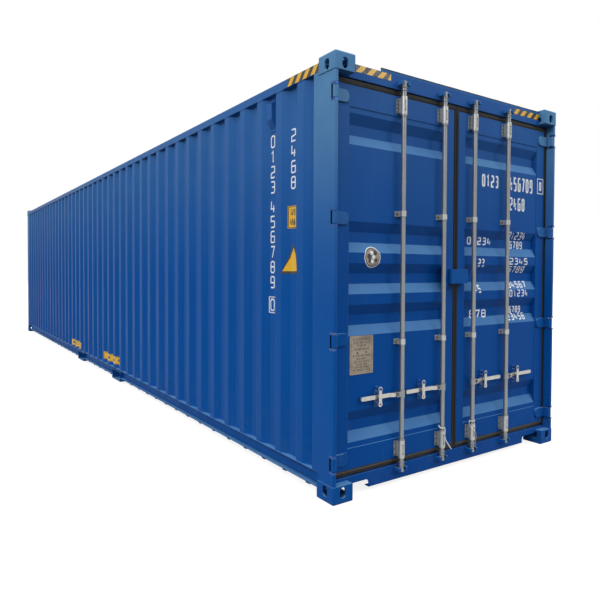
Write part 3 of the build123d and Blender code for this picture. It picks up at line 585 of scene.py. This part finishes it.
def joined(name, meshes):
    bm = bmesh.new()
    for mesh in meshes:
        bm.from_mesh(mesh)
    made = bpy.data.meshes.new(name)
    bm.to_mesh(made)
    bm.free()
    return made


def closeTree(tree, shape, material, made):
    # the export drops instances, so they are made real
    real = addNode(tree, "GeometryNodeRealizeInstances", {"Geometry": shape})
    done = addNode(tree, "GeometryNodeSetMaterial", {"Geometry": real.outputs[0], "Material": material})
    feed(tree, made, {"Geometry": done.outputs[0]})
    return tree


# Screw and rivet heads, set on points
headShape = dict(topShare=0.88, washerShare=1.4, washerSides=16, washerHeight=0.25, domeRings=6)


def buildHeads(name, sides, look):
    # a chamfered hexagon on a washer where sides is 6, and otherwise a domed rivet head
    tree, given, made = newGroup(name, "GeometryNodeTree", {
        "Geometry": "Geometry", "radius": 0.008, "height": 0.006, "seed": 3, "material": "Material"},
        {"Geometry": "Geometry"})
    if sides == 6:
        head = addNode(tree, "GeometryNodeMeshCone", {
            "Vertices": sides, "Radius Top": calc(tree, "MULTIPLY", given["radius"], look["topShare"]),
            "Radius Bottom": given["radius"], "Depth": given["height"]})
        wide = calc(tree, "MULTIPLY", given["radius"], look["washerShare"])
        washer = addNode(tree, "GeometryNodeMeshCone", {
            "Vertices": look["washerSides"], "Radius Top": wide, "Radius Bottom": wide,
            "Depth": calc(tree, "MULTIPLY", given["height"], look["washerHeight"])})
        join = tree.nodes.new("GeometryNodeJoinGeometry")
        for part in (washer, head):
            tree.links.new(part.outputs["Mesh"], join.inputs[0])
        shape = join.outputs[0]
    else:
        ball = addNode(tree, "GeometryNodeMeshUVSphere",
                       {"Segments": sides, "Rings": look["domeRings"], "Radius": given["radius"]})
        squat = addNode(tree, "ShaderNodeCombineXYZ", {
            0: 1.0, 1: 1.0, 2: calc(tree, "DIVIDE", given["height"], given["radius"])})
        shape = addNode(tree, "GeometryNodeTransform",
                        {"Geometry": ball.outputs["Mesh"], "Scale": squat.outputs[0]}).outputs[0]
    way = addNode(tree, "GeometryNodeInputNamedAttribute", {"Name": "way"}, data_type="FLOAT_VECTOR")
    aim = addNode(tree, "FunctionNodeAlignRotationToVector", {"Vector": way.outputs[0]}, axis="Z")
    placed = addNode(tree, "GeometryNodeInstanceOnPoints",
                     {"Points": given["Geometry"], "Instance": shape, "Rotation": aim.outputs[0]})
    turn = addNode(tree, "FunctionNodeRandomValue", {3: math.tau, "Seed": given["seed"]}, data_type="FLOAT")
    about = addNode(tree, "ShaderNodeCombineXYZ", {2: turn.outputs[1]})
    spun = addNode(tree, "GeometryNodeRotateInstances", {"Instances": placed.outputs[0], "Rotation": about.outputs[0]})
    return closeTree(tree, spun.outputs[0], given["material"], made)


# Weld beads and rubber lips, run along paths
def buildBead(name):
    tree, given, made = newGroup(name, "GeometryNodeTree", {
        "Geometry": "Geometry", "radius": 0.004, "ripple": 0.2, "sides": 6, "seed": 5, "material": "Material"},
        {"Geometry": "Geometry"})
    curve = addNode(tree, "GeometryNodeMeshToCurve", {"Mesh": given["Geometry"]})
    swell = addNode(tree, "FunctionNodeRandomValue", {
        2: inverse(tree, given["ripple"]), 3: plus(tree, 1.0, given["ripple"]), "Seed": given["seed"]},
        data_type="FLOAT")
    ring = addNode(tree, "GeometryNodeCurvePrimitiveCircle", {"Resolution": given["sides"], "Radius": given["radius"]})
    swept = addNode(tree, "GeometryNodeCurveToMesh", {
        "Curve": curve.outputs[0], "Profile Curve": ring.outputs[0], "Scale": swell.outputs[1], "Fill Caps": True})
    smooth = addNode(tree, "GeometryNodeSetShadeSmooth", {"Geometry": swept.outputs[0]})
    return closeTree(tree, smooth.outputs[0], given["material"], made)


hexHeads = buildHeads("hexHeads", 6, headShape)
rivetHeads = buildHeads("rivetHeads", 10, headShape)
beads = buildBead("beads")


def heads(tree, places, way, radius, height, slotName, seed=3):
    return grow(pointMesh(places, way), tree, {"radius": radius, "height": height, "seed": seed,
                                               "material": materials[slotName]})


def bead(paths, radius, ripple, slotName, step=0.03, sides=6, seed=5):
    return grow(lineMesh(paths, step), beads, {"radius": radius, "ripple": ripple, "sides": sides, "seed": seed,
                                               "material": materials[slotName]})


def jointPoint(side, place, motion):
    return Vector(joints[f"{side}_{place}_{motion}"]["pos_m"])


print("geometry trees built")

# Bolts of the door gear
gear = dict(bearings=((2.653, 4), (0.251, 3)), bearingSpread=0.040, bearingReach=0.0315, bearingBolt=0.006,
            guides=(1.904, 1.009), guideReach=0.033, retainerRises=(0.031, -0.055), boltRadius=0.007,
            boltHeight=0.009, plateFace=6.032, panelPlateFace=6.028, nutOut=0.016, nutRadius=0.0095, nutHeight=0.007)


def addGearBolts(size):
    # columns of bolts beside each bearing, one each side of every guide, two on each handle retainer, and a nut on
    # each handle's fork
    half, out = size["bearingSpread"], (1, 0, 0)
    for side in doors:
        small, large, painted = [], [], []
        for place in ("outer", "inner"):
            y = jointPoint(side, place, "bar_turn").y
            for z, count in size["bearings"]:
                small += [(size["plateFace"], y + dy * size["bearingReach"], z + dz)
                          for dy in (-1, 1) for dz in spread(-half, half, count)]
            large += [(size["panelPlateFace"], y + dy * size["guideReach"], z)
                      for dy in (-1, 1) for z in size["guides"]]
            seat, bolt = jointPoint(side, place, "catch_swing"), jointPoint(side, place, "handle_lift")
            painted += [(size["panelPlateFace"], seat.y, bolt.z + dz) for dz in size["retainerRises"]]
        mesh = joined("bolts", [
            heads(hexHeads, small, out, size["bearingBolt"], size["boltHeight"], "galvanised_gear"),
            heads(hexHeads, large, out, size["boltRadius"], size["boltHeight"], "galvanised_gear", seed=4)])
        addPiece(f"{side}_gear_bolts", mesh, "galvanised_gear", f"{side}_door")
        mesh = heads(hexHeads, painted, out, size["boltRadius"], size["boltHeight"], "door_paint", seed=6)
        addPiece(f"{side}_retainer_bolts", mesh, "door_paint", f"{side}_door")
        for place in ("outer", "inner"):
            at = jointPoint(side, place, "handle_lift") + Vector((size["nutOut"], 0, 0))
            nut = heads(hexHeads, [at], out, size["nutRadius"], size["nutHeight"], "galvanised_gear")
            addPiece(f"{side}_{place}_fork_nut", nut, "galvanised_gear", f"{side}_{place}_bar")


addGearBolts(gear)

# Two rings on every bar between each cam and its bearing
rings = dict(levels=(2.779, 2.757, 0.159, 0.137), radius=0.0185, thick=0.0048, corners=24, sides=10)


def addRings(size):
    for side, place in barPlaces:
        at = jointPoint(side, place, "bar_turn")
        paths = [loop([(x, y, z) for x, y in circle(at.x, at.y, size["radius"], size["corners"])])
                 for z in size["levels"]]
        mesh = bead(paths, size["thick"], 0.0, "galvanised_gear", sides=size["sides"])
        addPiece(f"{side}_{place}_rings", mesh, "galvanised_gear", f"{side}_{place}_bar")


addRings(rings)

# Floor screws, in rows over the cross members
floorScrews = dict(rows=9, margin=0.07, radius=0.006, height=0.0012, gap=0.1)


def addFloorScrews(size):
    low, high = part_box("floor")
    # a cross member ends where the next corner is further off than the gap
    xs = sorted(v.co.x for v in nodes["cross_members"].data.vertices)
    starts = [x for before, x in zip([-99.0] + xs, xs) if x - before > size["gap"]]
    ends = [x for x, after in zip(xs, xs[1:] + [99.0]) if after - x > size["gap"]]
    ys = spread(low.y + size["margin"], high.y - size["margin"], size["rows"])
    places = [((a + b) / 2, y, high.z) for a, b in zip(starts, ends) for y in ys if low.x < (a + b) / 2 < high.x]
    mesh = heads(rivetHeads, places, (0, 0, 1), size["radius"], size["height"], "pin_steel")
    addPiece("floor_screws", mesh, "galvanised_gear", "box")


addFloorScrews(floorScrews)
print("bolts and screws set")


# Flat films and the outside of the steel: rays start clear of it, and each film lies one layer over the last
filmWork = dict(clear=7.5, touch=0.0002, layer=0.0007, merge=0.00002, cut=0.00005)


def meet(pieces, into, creaseAxis):
    # the outside of a few pieces, as met along one direction, with the creases across one axis
    verts, faces = [], []
    for piece in pieces:
        first = len(verts)
        verts += [v.co.copy() for v in piece.data.vertices]
        faces += [[first + i for i in p.vertices] for p in piece.data.polygons]
    tree = BVHTree.FromPolygons(verts, faces)
    into = Vector(into)
    creases = set()
    for v in verts:
        hit = tree.ray_cast(v - into, into)[0]
        if hit is not None and (hit - v).length < filmWork["touch"]:
            creases.add(round(v[creaseAxis], 4))
    return dict(tree=tree, into=into, axis=creaseAxis, creases=sorted(creases))


def press(surface, point):
    # where a point of the middle plane comes to lie on the outside
    return surface["tree"].ray_cast(point - surface["into"] * filmWork["clear"], surface["into"])[0]


def doorFace(names, creaseAxis=2):
    return meet([nodes[name] for name in names], (-1, 0, 0), creaseAxis)


leftWall = meet([nodes["left_side_wall"]], (0, 1, 0), 0)
rightWall = meet([nodes["right_side_wall"]], (0, -1, 0), 0)
noseWall = meet([nodes["front_wall"]], (1, 0, 0), 1)

# Weld beads of the body
welds = dict(wallBead=0.0035, plateBead=0.003, ripple=0.28, wallRise=0.001, grooveIn=0.036)


def wavePath(surface, z):
    # the wall's outer line at one height, from crease to crease
    path = []
    for crease in surface["creases"]:
        point = Vector((0.0, 0.0, z))
        point[surface["axis"]] = crease
        path.append(press(surface, point))
    return [point for point in path if point is not None]


def addWelds(size):
    wallLow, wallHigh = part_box("left_side_wall")
    roofLow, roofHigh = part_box("roof_panel")
    rails = [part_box("bottom_side_rails"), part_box("top_side_rails")]
    topLow, topHigh = rails[1]
    walls = [wavePath(surface, z) for surface in (leftWall, rightWall, noseWall)
             for z in (wallLow.z + size["wallRise"], wallHigh.z - size["wallRise"])]
    plates = []
    for side in doors.values():
        grooveY = side * (abs(wallLow.y) - size["grooveIn"])
        walls.append([(wallHigh.x, grooveY, wallLow.z), (wallHigh.x, grooveY, wallHigh.z)])
        walls.append([(roofLow.x, side * roofHigh.y, topHigh.z), (roofHigh.x, side * roofHigh.y, topHigh.z)])
        plates += [[(x, side * high.y, low.z), (x, side * high.y, high.z)]
                   for x in (topLow.x, topHigh.x) for low, high in rails]
    mesh = joined("welds", [bead(walls, size["wallBead"], size["ripple"], "blue_paint"),
                            bead(plates, size["plateBead"], size["ripple"], "blue_paint", seed=8)])
    addPiece("body_welds", mesh, "blue_paint", "box")


addWelds(welds)

# A dark bead along the top of the door header, between the castings: a painted shadow line under the roof's edge
headerShadowLine = dict(radius=0.0035, ripple=0.15, inset=0.001, step=0.05)


def addHeaderShadowLine(size):
    low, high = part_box("header_rim")
    line = [(high.x - size["inset"], y, high.z) for y in (low.y, high.y)]
    dark = bead([line], size["radius"], size["ripple"], "black_marking", step=size["step"])
    addPiece("header_shadow_line", dark, "black_marking", "box")


addHeaderShadowLine(headerShadowLine)

# Weld round each door sheet and hinge blade, and the lips of the rubber seals as (radius, outwards)
doorEdges = dict(sheetBead=0.0028, ripple=0.22, rise=0.001, bladeHalf=0.040, blades=4,
                 lips=((0.003, 0.005), (0.0065, 0.0145), (0.003, 0.024)), lipRipple=0.04, lipStep=0.12, lipSides=8)


def addDoorEdges(size):
    half = size["bladeHalf"]
    for side, sign in doors.items():
        body = f"{side}_door"
        low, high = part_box(f"{side}_door_panel")
        edge = [(high.x + size["rise"], y, z) for y, z in rect(low.y, high.y, low.z, high.z)]
        sheet = bead([loop(edge)], size["sheetBead"], size["ripple"], "door_paint")
        leafLow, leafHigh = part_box(f"{side}_door_frame")
        bladeLow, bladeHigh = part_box(f"{side}_hinge_blades")
        root = (bladeLow if sign > 0 else bladeHigh).y
        stile = (leafHigh if sign > 0 else leafLow).y
        roots = [[(leafHigh.x, y, z + dz) for y, dz in ((stile, -half), (root, -half), (root, half), (stile, half))]
                 for z in spread(bladeLow.z + half, bladeHigh.z - half, size["blades"])]
        blades = bead(roots, size["sheetBead"], size["ripple"], "door_paint", seed=6)
        addPiece(f"{side}_door_welds", joined("welds", [sheet, blades]), "door_paint", body)
        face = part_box(f"{side}_door_gasket")[1].x
        lips = []
        for radius, out in size["lips"]:
            lip = [(face, y, z) for y, z in rect(*inset((leafLow.y, leafHigh.y, leafLow.z, leafHigh.z), -out))]
            lips.append(bead([loop(lip)], radius, size["lipRipple"], "seal_rubber", size["lipStep"], size["lipSides"]))
        addPiece(f"{side}_seal_lips", joined("lips", lips), "seal_rubber", body)


addDoorEdges(doorEdges)
print("welds and seal lips laid")


# Flat outlines, and the way they are pressed on to the steel
def ribbon(points, width, closed=False):
    # quads of a flat band along a line, mitred at its corners
    line = [Vector(p) for p in points]
    count = len(line)
    left, right = [], []
    for i, here in enumerate(line):
        ways = []
        if closed or i:
            ways.append((here - line[i - 1]).normalized())
        if closed or i < count - 1:
            ways.append((line[(i + 1) % count] - here).normalized())
        normals = [Vector((-way.y, way.x)) for way in ways]
        across = sum(normals, Vector((0, 0))).normalized()
        reach = width / 2 / max(across.dot(normals[0]), 0.5)
        left.append(here + across * reach)
        right.append(here - across * reach)
    spans = range(count if closed else count - 1)
    return [[right[i], right[(i + 1) % count], left[(i + 1) % count], left[i]] for i in spans]


# Plain squarish figures, drawn in a unit square: each stroke is its points and whether it closes
ringStroke = ([(0.2, 0), (0.8, 0), (1, 0.12), (1, 0.88), (0.8, 1), (0.2, 1), (0, 0.88), (0, 0.12)], True)
figures = {
    "0": [ringStroke],
    "1": [([(0.15, 0.82), (0.55, 1), (0.55, 0)], False)],
    "2": [([(0, 1), (0.85, 1), (1, 0.9), (1, 0.5), (0, 0.4), (0, 0), (1, 0)], False)],
    "3": [([(0, 1), (0.85, 1), (1, 0.88), (1, 0.12), (0.85, 0), (0, 0)], False), ([(0.25, 0.52), (0.9, 0.52)], False)],
    "4": [([(0.1, 1), (0, 0.32), (1, 0.32)], False), ([(0.75, 0.62), (0.75, 0)], False)],
    "5": [([(1, 1), (0, 1), (0, 0.56), (0.85, 0.56), (1, 0.45), (1, 0.1), (0.85, 0), (0, 0)], False)],
    "6": [([(1, 1), (0.15, 1), (0, 0.88), (0, 0.1), (0.15, 0), (0.85, 0), (1, 0.1), (1, 0.55), (0, 0.55)], False)],
    "7": [([(0, 1), (1, 1), (0.4, 0)], False)],
    "8": [ringStroke, ([(0.1, 0.53), (0.9, 0.53)], False)],
    "9": [([(0, 0), (0.85, 0), (1, 0.12), (1, 0.9), (0.85, 1), (0.15, 1), (0, 0.9), (0, 0.45), (0.92, 0.45)], False)],
}


def write(text, u0, u1, v0, v1, stroke, fill=0.74):
    # figures that share a box, each in its own cell
    cell = (u1 - u0) / len(text)
    wide, tall = cell * fill - stroke, v1 - v0 - stroke
    quads = []
    for i, mark in enumerate(text):
        base = u0 + cell * (i + (1 - fill) / 2)
        for points, closed in figures[mark]:
            line = [(base + stroke / 2 + x * wide, v0 + stroke / 2 + y * tall) for x, y in points]
            quads += ribbon(line, stroke, closed)
    return quads


def film(name, outlines, surface, slotName, body, layer=0, lift=0.0004, thick=0.0006):
    # the outlines as a thin film: cut at the creases, pressed on, and closed at its back and rim
    bm = bmesh.new()
    into = surface["into"]
    along = Vector((1, 0, 0)) if into.y else Vector((0, 1, 0))
    for outline in outlines:
        bm.faces.new([bm.verts.new(along * u + Vector((0, 0, v))) for u, v in outline])
    bmesh.ops.remove_doubles(bm, verts=bm.verts, dist=filmWork["merge"])
    normal = Vector([1.0 if i == surface["axis"] else 0.0 for i in range(3)])
    low = min(v.co[surface["axis"]] for v in bm.verts)
    high = max(v.co[surface["axis"]] for v in bm.verts)
    for crease in surface["creases"]:
        if low < crease < high:
            whole = bm.verts[:] + bm.edges[:] + bm.faces[:]
            bmesh.ops.bisect_plane(bm, geom=whole, plane_co=normal * crease, plane_no=normal, dist=filmWork["cut"])
    for vert in bm.verts:
        vert.co = press(surface, vert.co) - into * (lift + layer * filmWork["layer"])
    grown = bmesh.ops.extrude_face_region(bm, geom=bm.faces[:])["geom"]
    for item in grown:
        if isinstance(item, bmesh.types.BMVert):
            item.co -= into * thick
    return addPiece(name, meshOf(bm, name), slotName, body)


print("film tools ready")

# Figures in two columns on the left side wall; the last one of the long column is boxed
wallMarks = dict(
    columns=[dict(name="column_long", text="01234567890", x=5.2795, top=2.517, pitch=0.1135, tall=0.094,
                  gaps={4: 0.033, 10: 0.058}, boxed=10),
             dict(name="column_short", text="2468", x=5.5605, top=2.513, pitch=0.112, tall=0.093, gaps={}, boxed=None)],
    wide=0.060, stroke=0.0115, boxGap=0.012, boxStroke=0.006)


def addWallFigures(marks):
    half = marks["wide"] / 2
    for column in marks["columns"]:
        quads = []
        top = column["top"]
        for i, mark in enumerate(column["text"]):
            top -= column["gaps"].get(i, 0.0)
            area = (column["x"] - half, column["x"] + half, top - column["tall"], top)
            quads += write(mark, *area, marks["stroke"], fill=1.0)
            if i == column["boxed"]:
                quads += ribbon(rect(*inset(area, -marks["boxGap"])), marks["boxStroke"], True)
            top -= column["pitch"]
        film(column["name"], quads, leftWall, "white_marking", "box")


addWallFigures(wallMarks)

# Yellow labels on the left side: a height label, a triangle, and one beside each fork pocket
labels = dict(
    height=(end - 0.592, end - 0.490, 1.805, 1.966), border=0.006, borderLine=0.0048, figure=0.010,
    sides=0.012, ends=0.016,
    triangle=dict(outer=[(end - 0.645, 1.480), (end - 0.421, 1.482), (end - 0.536, 1.697)],
                  inner=[(end - 0.630, 1.499), (end - 0.435, 1.500), (end - 0.528, 1.665)]),
    pockets=[(end - 5.417, end - 4.634, 0.224, 0.328), (end - 7.441, end - 6.808, 0.198, 0.302)],
    pocketInset=0.008, pocketLine=0.005, bars=5, barInset=0.034, barFrom=0.7, barTo=1.25)


def addLabels(size):
    film("height_label", [rect(*size["height"])], leftWall, "yellow_marking", "box")
    u0, u1, v0, v1 = inset(size["height"], size["border"])
    marks = ribbon(rect(u0, u1, v0, v1), size["borderLine"], True)
    middle = (v0 + v1) / 2
    for text, low, high in (("123", middle + size["sides"], v1 - size["ends"]),
                            ("456", v0 + size["ends"], middle - size["sides"])):
        marks += write(text, u0 + size["sides"], u1 - size["sides"], low, high, size["figure"])
    film("height_label_figures", marks, leftWall, "black_marking", "box", layer=1)
    film("triangle_border", [size["triangle"]["outer"]], leftWall, "black_marking", "box")
    film("triangle_label", [size["triangle"]["inner"]], leftWall, "yellow_marking", "box", layer=1)
    dark = []
    for u0, u1, v0, v1 in size["pockets"]:
        dark += ribbon(rect(*inset((u0, u1, v0, v1), size["pocketInset"])), size["pocketLine"], True)
        span = (u1 - u0) / (size["bars"] + 1)
        dark += [rect(u0 + span * (i + size["barFrom"]), u0 + span * (i + size["barTo"]), v0 + size["barInset"],
                      v1 - size["barInset"]) for i in range(size["bars"])]
    film("pocket_labels", [rect(*pocket) for pocket in size["pockets"]], leftWall, "yellow_marking", "box")
    film("pocket_label_bars", dark, leftWall, "black_marking", "box", layer=1)


addLabels(labels)
print("wall figures and labels on")

# Slanted yellow and black stripes at the top of the door end
stripes = dict(
    bands=[("rail", "rail", (end - 0.560, end - 0.180, 2.803, 2.859), 0.048),
           ("left_header", "header", (-1.002, -0.689, 2.813, 2.859), 0.046),
           ("right_header", "header", (0.690, 1.052, 2.813, 2.859), 0.046)],
    pitch=0.094, lean=0.045, groundLift=0.0002, stripeLift=0.0006, thick=0.0004)


def addStripes(size):
    faces = dict(rail=meet([nodes["top_side_rails"]], (0, 1, 0), 0), header=doorFace(["door_header"], 1))
    lean = size["lean"]
    for name, face, area, wide in size["bands"]:
        surface = faces[face]
        u0, u1, v0, v1 = area
        film(f"{name}_stripe_ground", [rect(*area)], surface, "black_marking", "box", lift=size["groundLift"],
             thick=size["thick"])
        slants = []
        u = u0
        while u < u1:
            # each slant is cut off where the band ends
            foot = [u, min(u + wide, u1)]
            head = [min(u + lean, u1), min(u + lean + wide, u1)]
            outline = [(foot[0], v0), (foot[1], v0)]
            if head[1] == u1 and foot[1] < u1:
                outline.append((u1, v0 + (u1 - foot[1]) / lean * (v1 - v0)))
            outline += [(head[1], v1), (head[0], v1)] if head[1] > head[0] else [(head[0], v1)]
            slants.append(outline)
            u += size["pitch"]
        film(f"{name}_stripes", slants, surface, "yellow_marking", "box", lift=size["stripeLift"], thick=size["thick"])


addStripes(stripes)

# White figures on the right door: each row is its text, area and stroke
doorMarks = dict(
    rows=[("0123", 0.305, 0.527, 2.180, 2.280, 0.016), ("456789", 0.660, 0.996, 2.175, 2.293, 0.016),
          ("2468", 0.663, 0.885, 2.013, 2.122, 0.015),
          ("01234", 0.173, 0.484, 1.715, 1.778, 0.011), ("123", 0.225, 0.360, 1.540, 1.604, 0.011),
          ("45", 0.228, 0.326, 1.332, 1.395, 0.011), ("678", 0.207, 0.431, 1.130, 1.195, 0.011),
          ("01234", 0.669, 0.920, 1.772, 1.836, 0.010), ("56789", 0.670, 0.907, 1.695, 1.759, 0.010),
          ("2345", 0.673, 0.939, 1.560, 1.618, 0.010), ("6789", 0.675, 0.912, 1.491, 1.549, 0.010),
          ("34567", 0.677, 0.943, 1.364, 1.421, 0.010), ("01234", 0.678, 0.945, 1.290, 1.350, 0.010),
          ("56789", 0.681, 0.891, 1.152, 1.209, 0.010), ("23456", 0.682, 0.935, 1.092, 1.150, 0.010)],
    box=(1.056, 1.138, 2.183, 2.310), boxStroke=0.007, boxInset=0.024, boxFigure=0.014)


def addDoorFigures(marks):
    surface = doorFace(["right_door_panel", "right_door_frame"])
    quads = []
    for row in marks["rows"]:
        quads += write(*row)
    quads += ribbon(rect(*marks["box"]), marks["boxStroke"], True)
    quads += write("0", *inset(marks["box"], marks["boxInset"]), marks["boxFigure"], fill=1.0)
    film("right_door_figures", quads, surface, "white_marking", "right_door")


addDoorFigures(doorMarks)

# Data plate on the left door: a row is its text, rise, share of the width and height, and a seal is its share of the
# width, rise and radius
plate = dict(area=(-1.031, -0.826, 0.809, 1.069), thick=0.003, corner=0.006, bevel=0.0008, margin=0.012, line=0.0015,
             rows=[("012345678901", 0.92, 0.86, 0.014), ("3456789012345", 0.83, 0.80, 0.012),
                   ("0123456", 0.75, 0.45, 0.011), ("567890123456", 0.65, 0.72, 0.010),
                   ("01234567890", 0.455, 0.86, 0.014), ("234567", 0.37, 0.5, 0.011),
                   ("9012345678", 0.29, 0.72, 0.010), ("3456789", 0.21, 0.55, 0.011),
                   ("12345678901", 0.13, 0.8, 0.011), ("67890123", 0.05, 0.84, 0.011)],
             stroke=0.0026, rule=(0.0045, 0.0035), seals=((0.30, 0.56, 0.0075), (0.72, 0.57, 0.0065)), sealSides=16,
             rivets=3, rivet=0.0035, rivetHeight=0.002, rivetInset=0.006, lift=0.0001, inkThick=0.0002)


def addTab(bm, middle, extents, axis, corner, segments):
    # a block whose edges along one axis are rounded
    matrix = Matrix.Translation(middle) @ Matrix.Diagonal((*extents, 1.0))
    made = bmesh.ops.create_cube(bm, size=1.0, matrix=matrix)
    edges = {e for v in made["verts"] for e in v.link_edges
             if abs(e.verts[0].co[axis] - e.verts[1].co[axis]) > extents[axis] / 2}
    bmesh.ops.bevel(bm, geom=list(edges), offset=corner, segments=segments, profile=0.5, affect="EDGES")


def addDataPlate(size):
    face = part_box("left_door_panel")[1].x
    y0, y1, z0, z1 = size["area"]
    middle = Vector((face + size["thick"] / 2, (y0 + y1) / 2, (z0 + z1) / 2))
    bm = bmesh.new()
    addTab(bm, middle, (size["thick"], y1 - y0, z1 - z0), 0, size["corner"], 4)
    rim = [e for e in bm.edges if all(v.co.x > middle.x for v in e.verts)]
    bmesh.ops.bevel(bm, geom=rim, offset=size["bevel"], segments=1, affect="EDGES")
    made = addPiece("data_plate", meshOf(bm, "data_plate"), "plate_alloy", "left_door")
    surface = meet([made], (-1, 0, 0), 2)
    surface["creases"] = []
    u0, u1, v0, v1 = inset(size["area"], size["margin"])
    lines = ribbon(rect(u0, u1, v0, v1), size["line"], True)
    middleU, half = (u0 + u1) / 2, (u1 - u0) / 2
    for text, rise, share, tall in size["rows"]:
        v = v0 + (v1 - v0) * rise
        lines += write(text, middleU - half * share, middleU + half * share, v, v + tall, size["stroke"])
        lines.append(rect(u0, u1, v - size["rule"][0], v - size["rule"][1]))
    for share, rise, radius in size["seals"]:
        lines.append(circle(u0 + (u1 - u0) * share, v0 + (v1 - v0) * rise, radius, size["sealSides"]))
    film("data_plate_lines", lines, surface, "black_marking", "left_door", lift=size["lift"], thick=size["inkThick"])
    u0, u1, v0, v1 = inset(size["area"], size["rivetInset"])
    places = [(face + size["thick"], y, z) for y in (u0, u1) for z in spread(v0, v1, size["rivets"])]
    rivets = heads(rivetHeads, places, (1, 0, 0), size["rivet"], size["rivetHeight"], "plate_alloy")
    addPiece("data_plate_rivets", rivets, "plate_alloy", "left_door")


# Round sticker: spots are u, v and radius, as shares of its radius; its pale spots are painted highlights
sticker = dict(y=-0.835, z=1.597, radius=0.072, ring=0.91, field=0.82, sides=40, spotSides=20,
               dark=((-0.42, 0.08, 0.26), (-0.34, -0.34, 0.20), (0.42, -0.28, 0.20), (0.32, 0.40, 0.22)),
               pale=((-0.12, 0.40, 0.20), (0.12, 0.02, 0.20), (-0.05, -0.38, 0.18)))


def addSticker(size):
    surface = doorFace(["left_door_panel"])
    y, z, r = size["y"], size["z"], size["radius"]
    disc, ring, field = [[circle(y, z, r * share, size["sides"])] for share in (1, size["ring"], size["field"])]
    dark, pale = [[circle(y + u * r, z + v * r, share * r, size["spotSides"]) for u, v, share in size[shade]]
                  for shade in ("dark", "pale")]
    layers = [("round_sticker", disc, "white_marking"), ("sticker_ring", ring, "black_marking"),
              ("sticker_field", field, "plate_alloy"), ("sticker_dark_spots", dark, "black_marking"),
              ("sticker_highlight_spots", pale, "white_marking")]
    for layer, (name, outlines, slotName) in enumerate(layers):
        film(name, outlines, surface, slotName, "left_door", layer=layer)


addDataPlate(plate)
addSticker(sticker)
print("stripes, door figures, plate and sticker on")

# A black slot with a hole at each end, on the sleeve of every bar bearing: painted shade standing in for the open slot
# and holes
sleeveSlotShade = dict(levels=(2.650, 0.251), aside=-0.006, hole=0.005, holeSides=12, half=0.026, wide=0.0035)


def addSlotShade(size):
    for side in doors:
        surface = doorFace([f"{side}_door_fittings"])
        marks = []
        for place in ("outer", "inner"):
            u = jointPoint(side, place, "bar_turn").y + size["aside"]
            for v in size["levels"]:
                marks.append(rect(u - size["wide"] / 2, u + size["wide"] / 2, v - size["half"], v + size["half"]))
                marks += [circle(u, v + way * (size["half"] + size["hole"]), size["hole"], size["holeSides"])
                          for way in (1, -1)]
        film(f"{side}_sleeve_slot_shade", marks, surface, "black_marking", f"{side}_door")


addSlotShade(sleeveSlotShade)

# Nylon ties left on at the feet of the two inner bars: a band with its short end, and a long free end
ties = dict(
    half=0.0031, thick=0.0010, level=0.337, bandRadius=0.0208, bandPoints=16, order=3, steps=6, edgeSteps=2,
    stub=[(6.083, -0.180, 0.337), (6.085, -0.190, 0.335), (6.077, -0.205, 0.344), (6.072, -0.220, 0.361)],
    tails=dict(
        left=[(6.0845, -0.168, 0.337), (6.083, -0.157, 0.325), (6.080, -0.154, 0.300), (6.078, -0.157, 0.270),
              (6.078, -0.146, 0.240), (6.078, -0.120, 0.206), (6.078, -0.084, 0.162)],
        right=[(6.066, 0.151, 0.337), (6.074, 0.128, 0.344), (6.084, 0.108, 0.330), (6.090, 0.118, 0.303),
               (6.0925, 0.150, 0.277), (6.0925, 0.180, 0.250), (6.087, 0.196, 0.222), (6.080, 0.199, 0.190),
               (6.078, 0.195, 0.156), (6.078, 0.193, 0.130), (6.079, 0.207, 0.106)]),
    lengths=dict(left=0.202, right=0.308))


def strap(points, size, closed=False):
    # a flat band with rounded edges along a smooth line
    data = bpy.data.curves.new("strap", "CURVE")
    data.dimensions = "3D"
    line = data.splines.new("NURBS")
    line.points.add(len(points) - 1)
    for point, place in zip(line.points, points):
        point.co = (*place, 1.0)
    line.use_cyclic_u = closed
    line.order_u = size["order"]
    line.use_endpoint_u = not closed
    line.resolution_u = size["steps"]
    data.extrude = size["half"]
    data.bevel_depth = size["thick"]
    data.bevel_resolution = size["edgeSteps"]
    data.use_fill_caps = True
    return data


def addTies(size):
    for side in doors:
        at = jointPoint(side, "inner", "bar_turn")
        band = [(x, y, size["level"]) for x, y in circle(at.x, at.y, size["bandRadius"], size["bandPoints"])]
        curves = [strap(band, size, closed=True)] + ([strap(size["stub"], size)] if side == "left" else [])
        meshes = [finalMesh(addObject("strap", curve)) for curve in curves]
        addPiece(f"{side}_tie_band", joined("band", meshes), "white_nylon", f"{side}_door")
        route = size["tails"][side]
        tail = addPiece(f"{side}_tie_end", strap(route, size), "white_nylon", f"{side}_door")


addTies(ties)
print("ties on")

# Screwed tabs that hold the side ventilators
ventTabs = dict(tall=0.027, thick=0.0025, corner=0.005, screw=0.006, screwHeight=0.003)


def addVentTabs(size):
    low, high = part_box("side_vents")
    bm = bmesh.new()
    places = {-1: [], 1: []}
    for side, surface in ((-1, leftWall), (1, rightWall)):
        x = (low.x + high.x) / 2
        for z in (low.z - size["tall"] / 2, high.z + size["tall"] / 2):
            at, out = press(surface, Vector((x, 0, z))), Vector((0, side * size["thick"], 0))
            addTab(bm, at + out / 2, (high.x - low.x, size["thick"], size["tall"]), 1, size["corner"], 3)
            places[side].append(at + out)
    addPiece("vent_tabs", meshOf(bm, "vent_tabs"), "vent_paint", "box")
    screws = [heads(rivetHeads, places[side], (0, side, 0), size["screw"], size["screwHeight"], "vent_paint")
              for side in (-1, 1)]
    addPiece("vent_screws", joined("screws", screws), "vent_paint", "box")


addVentTabs(ventTabs)
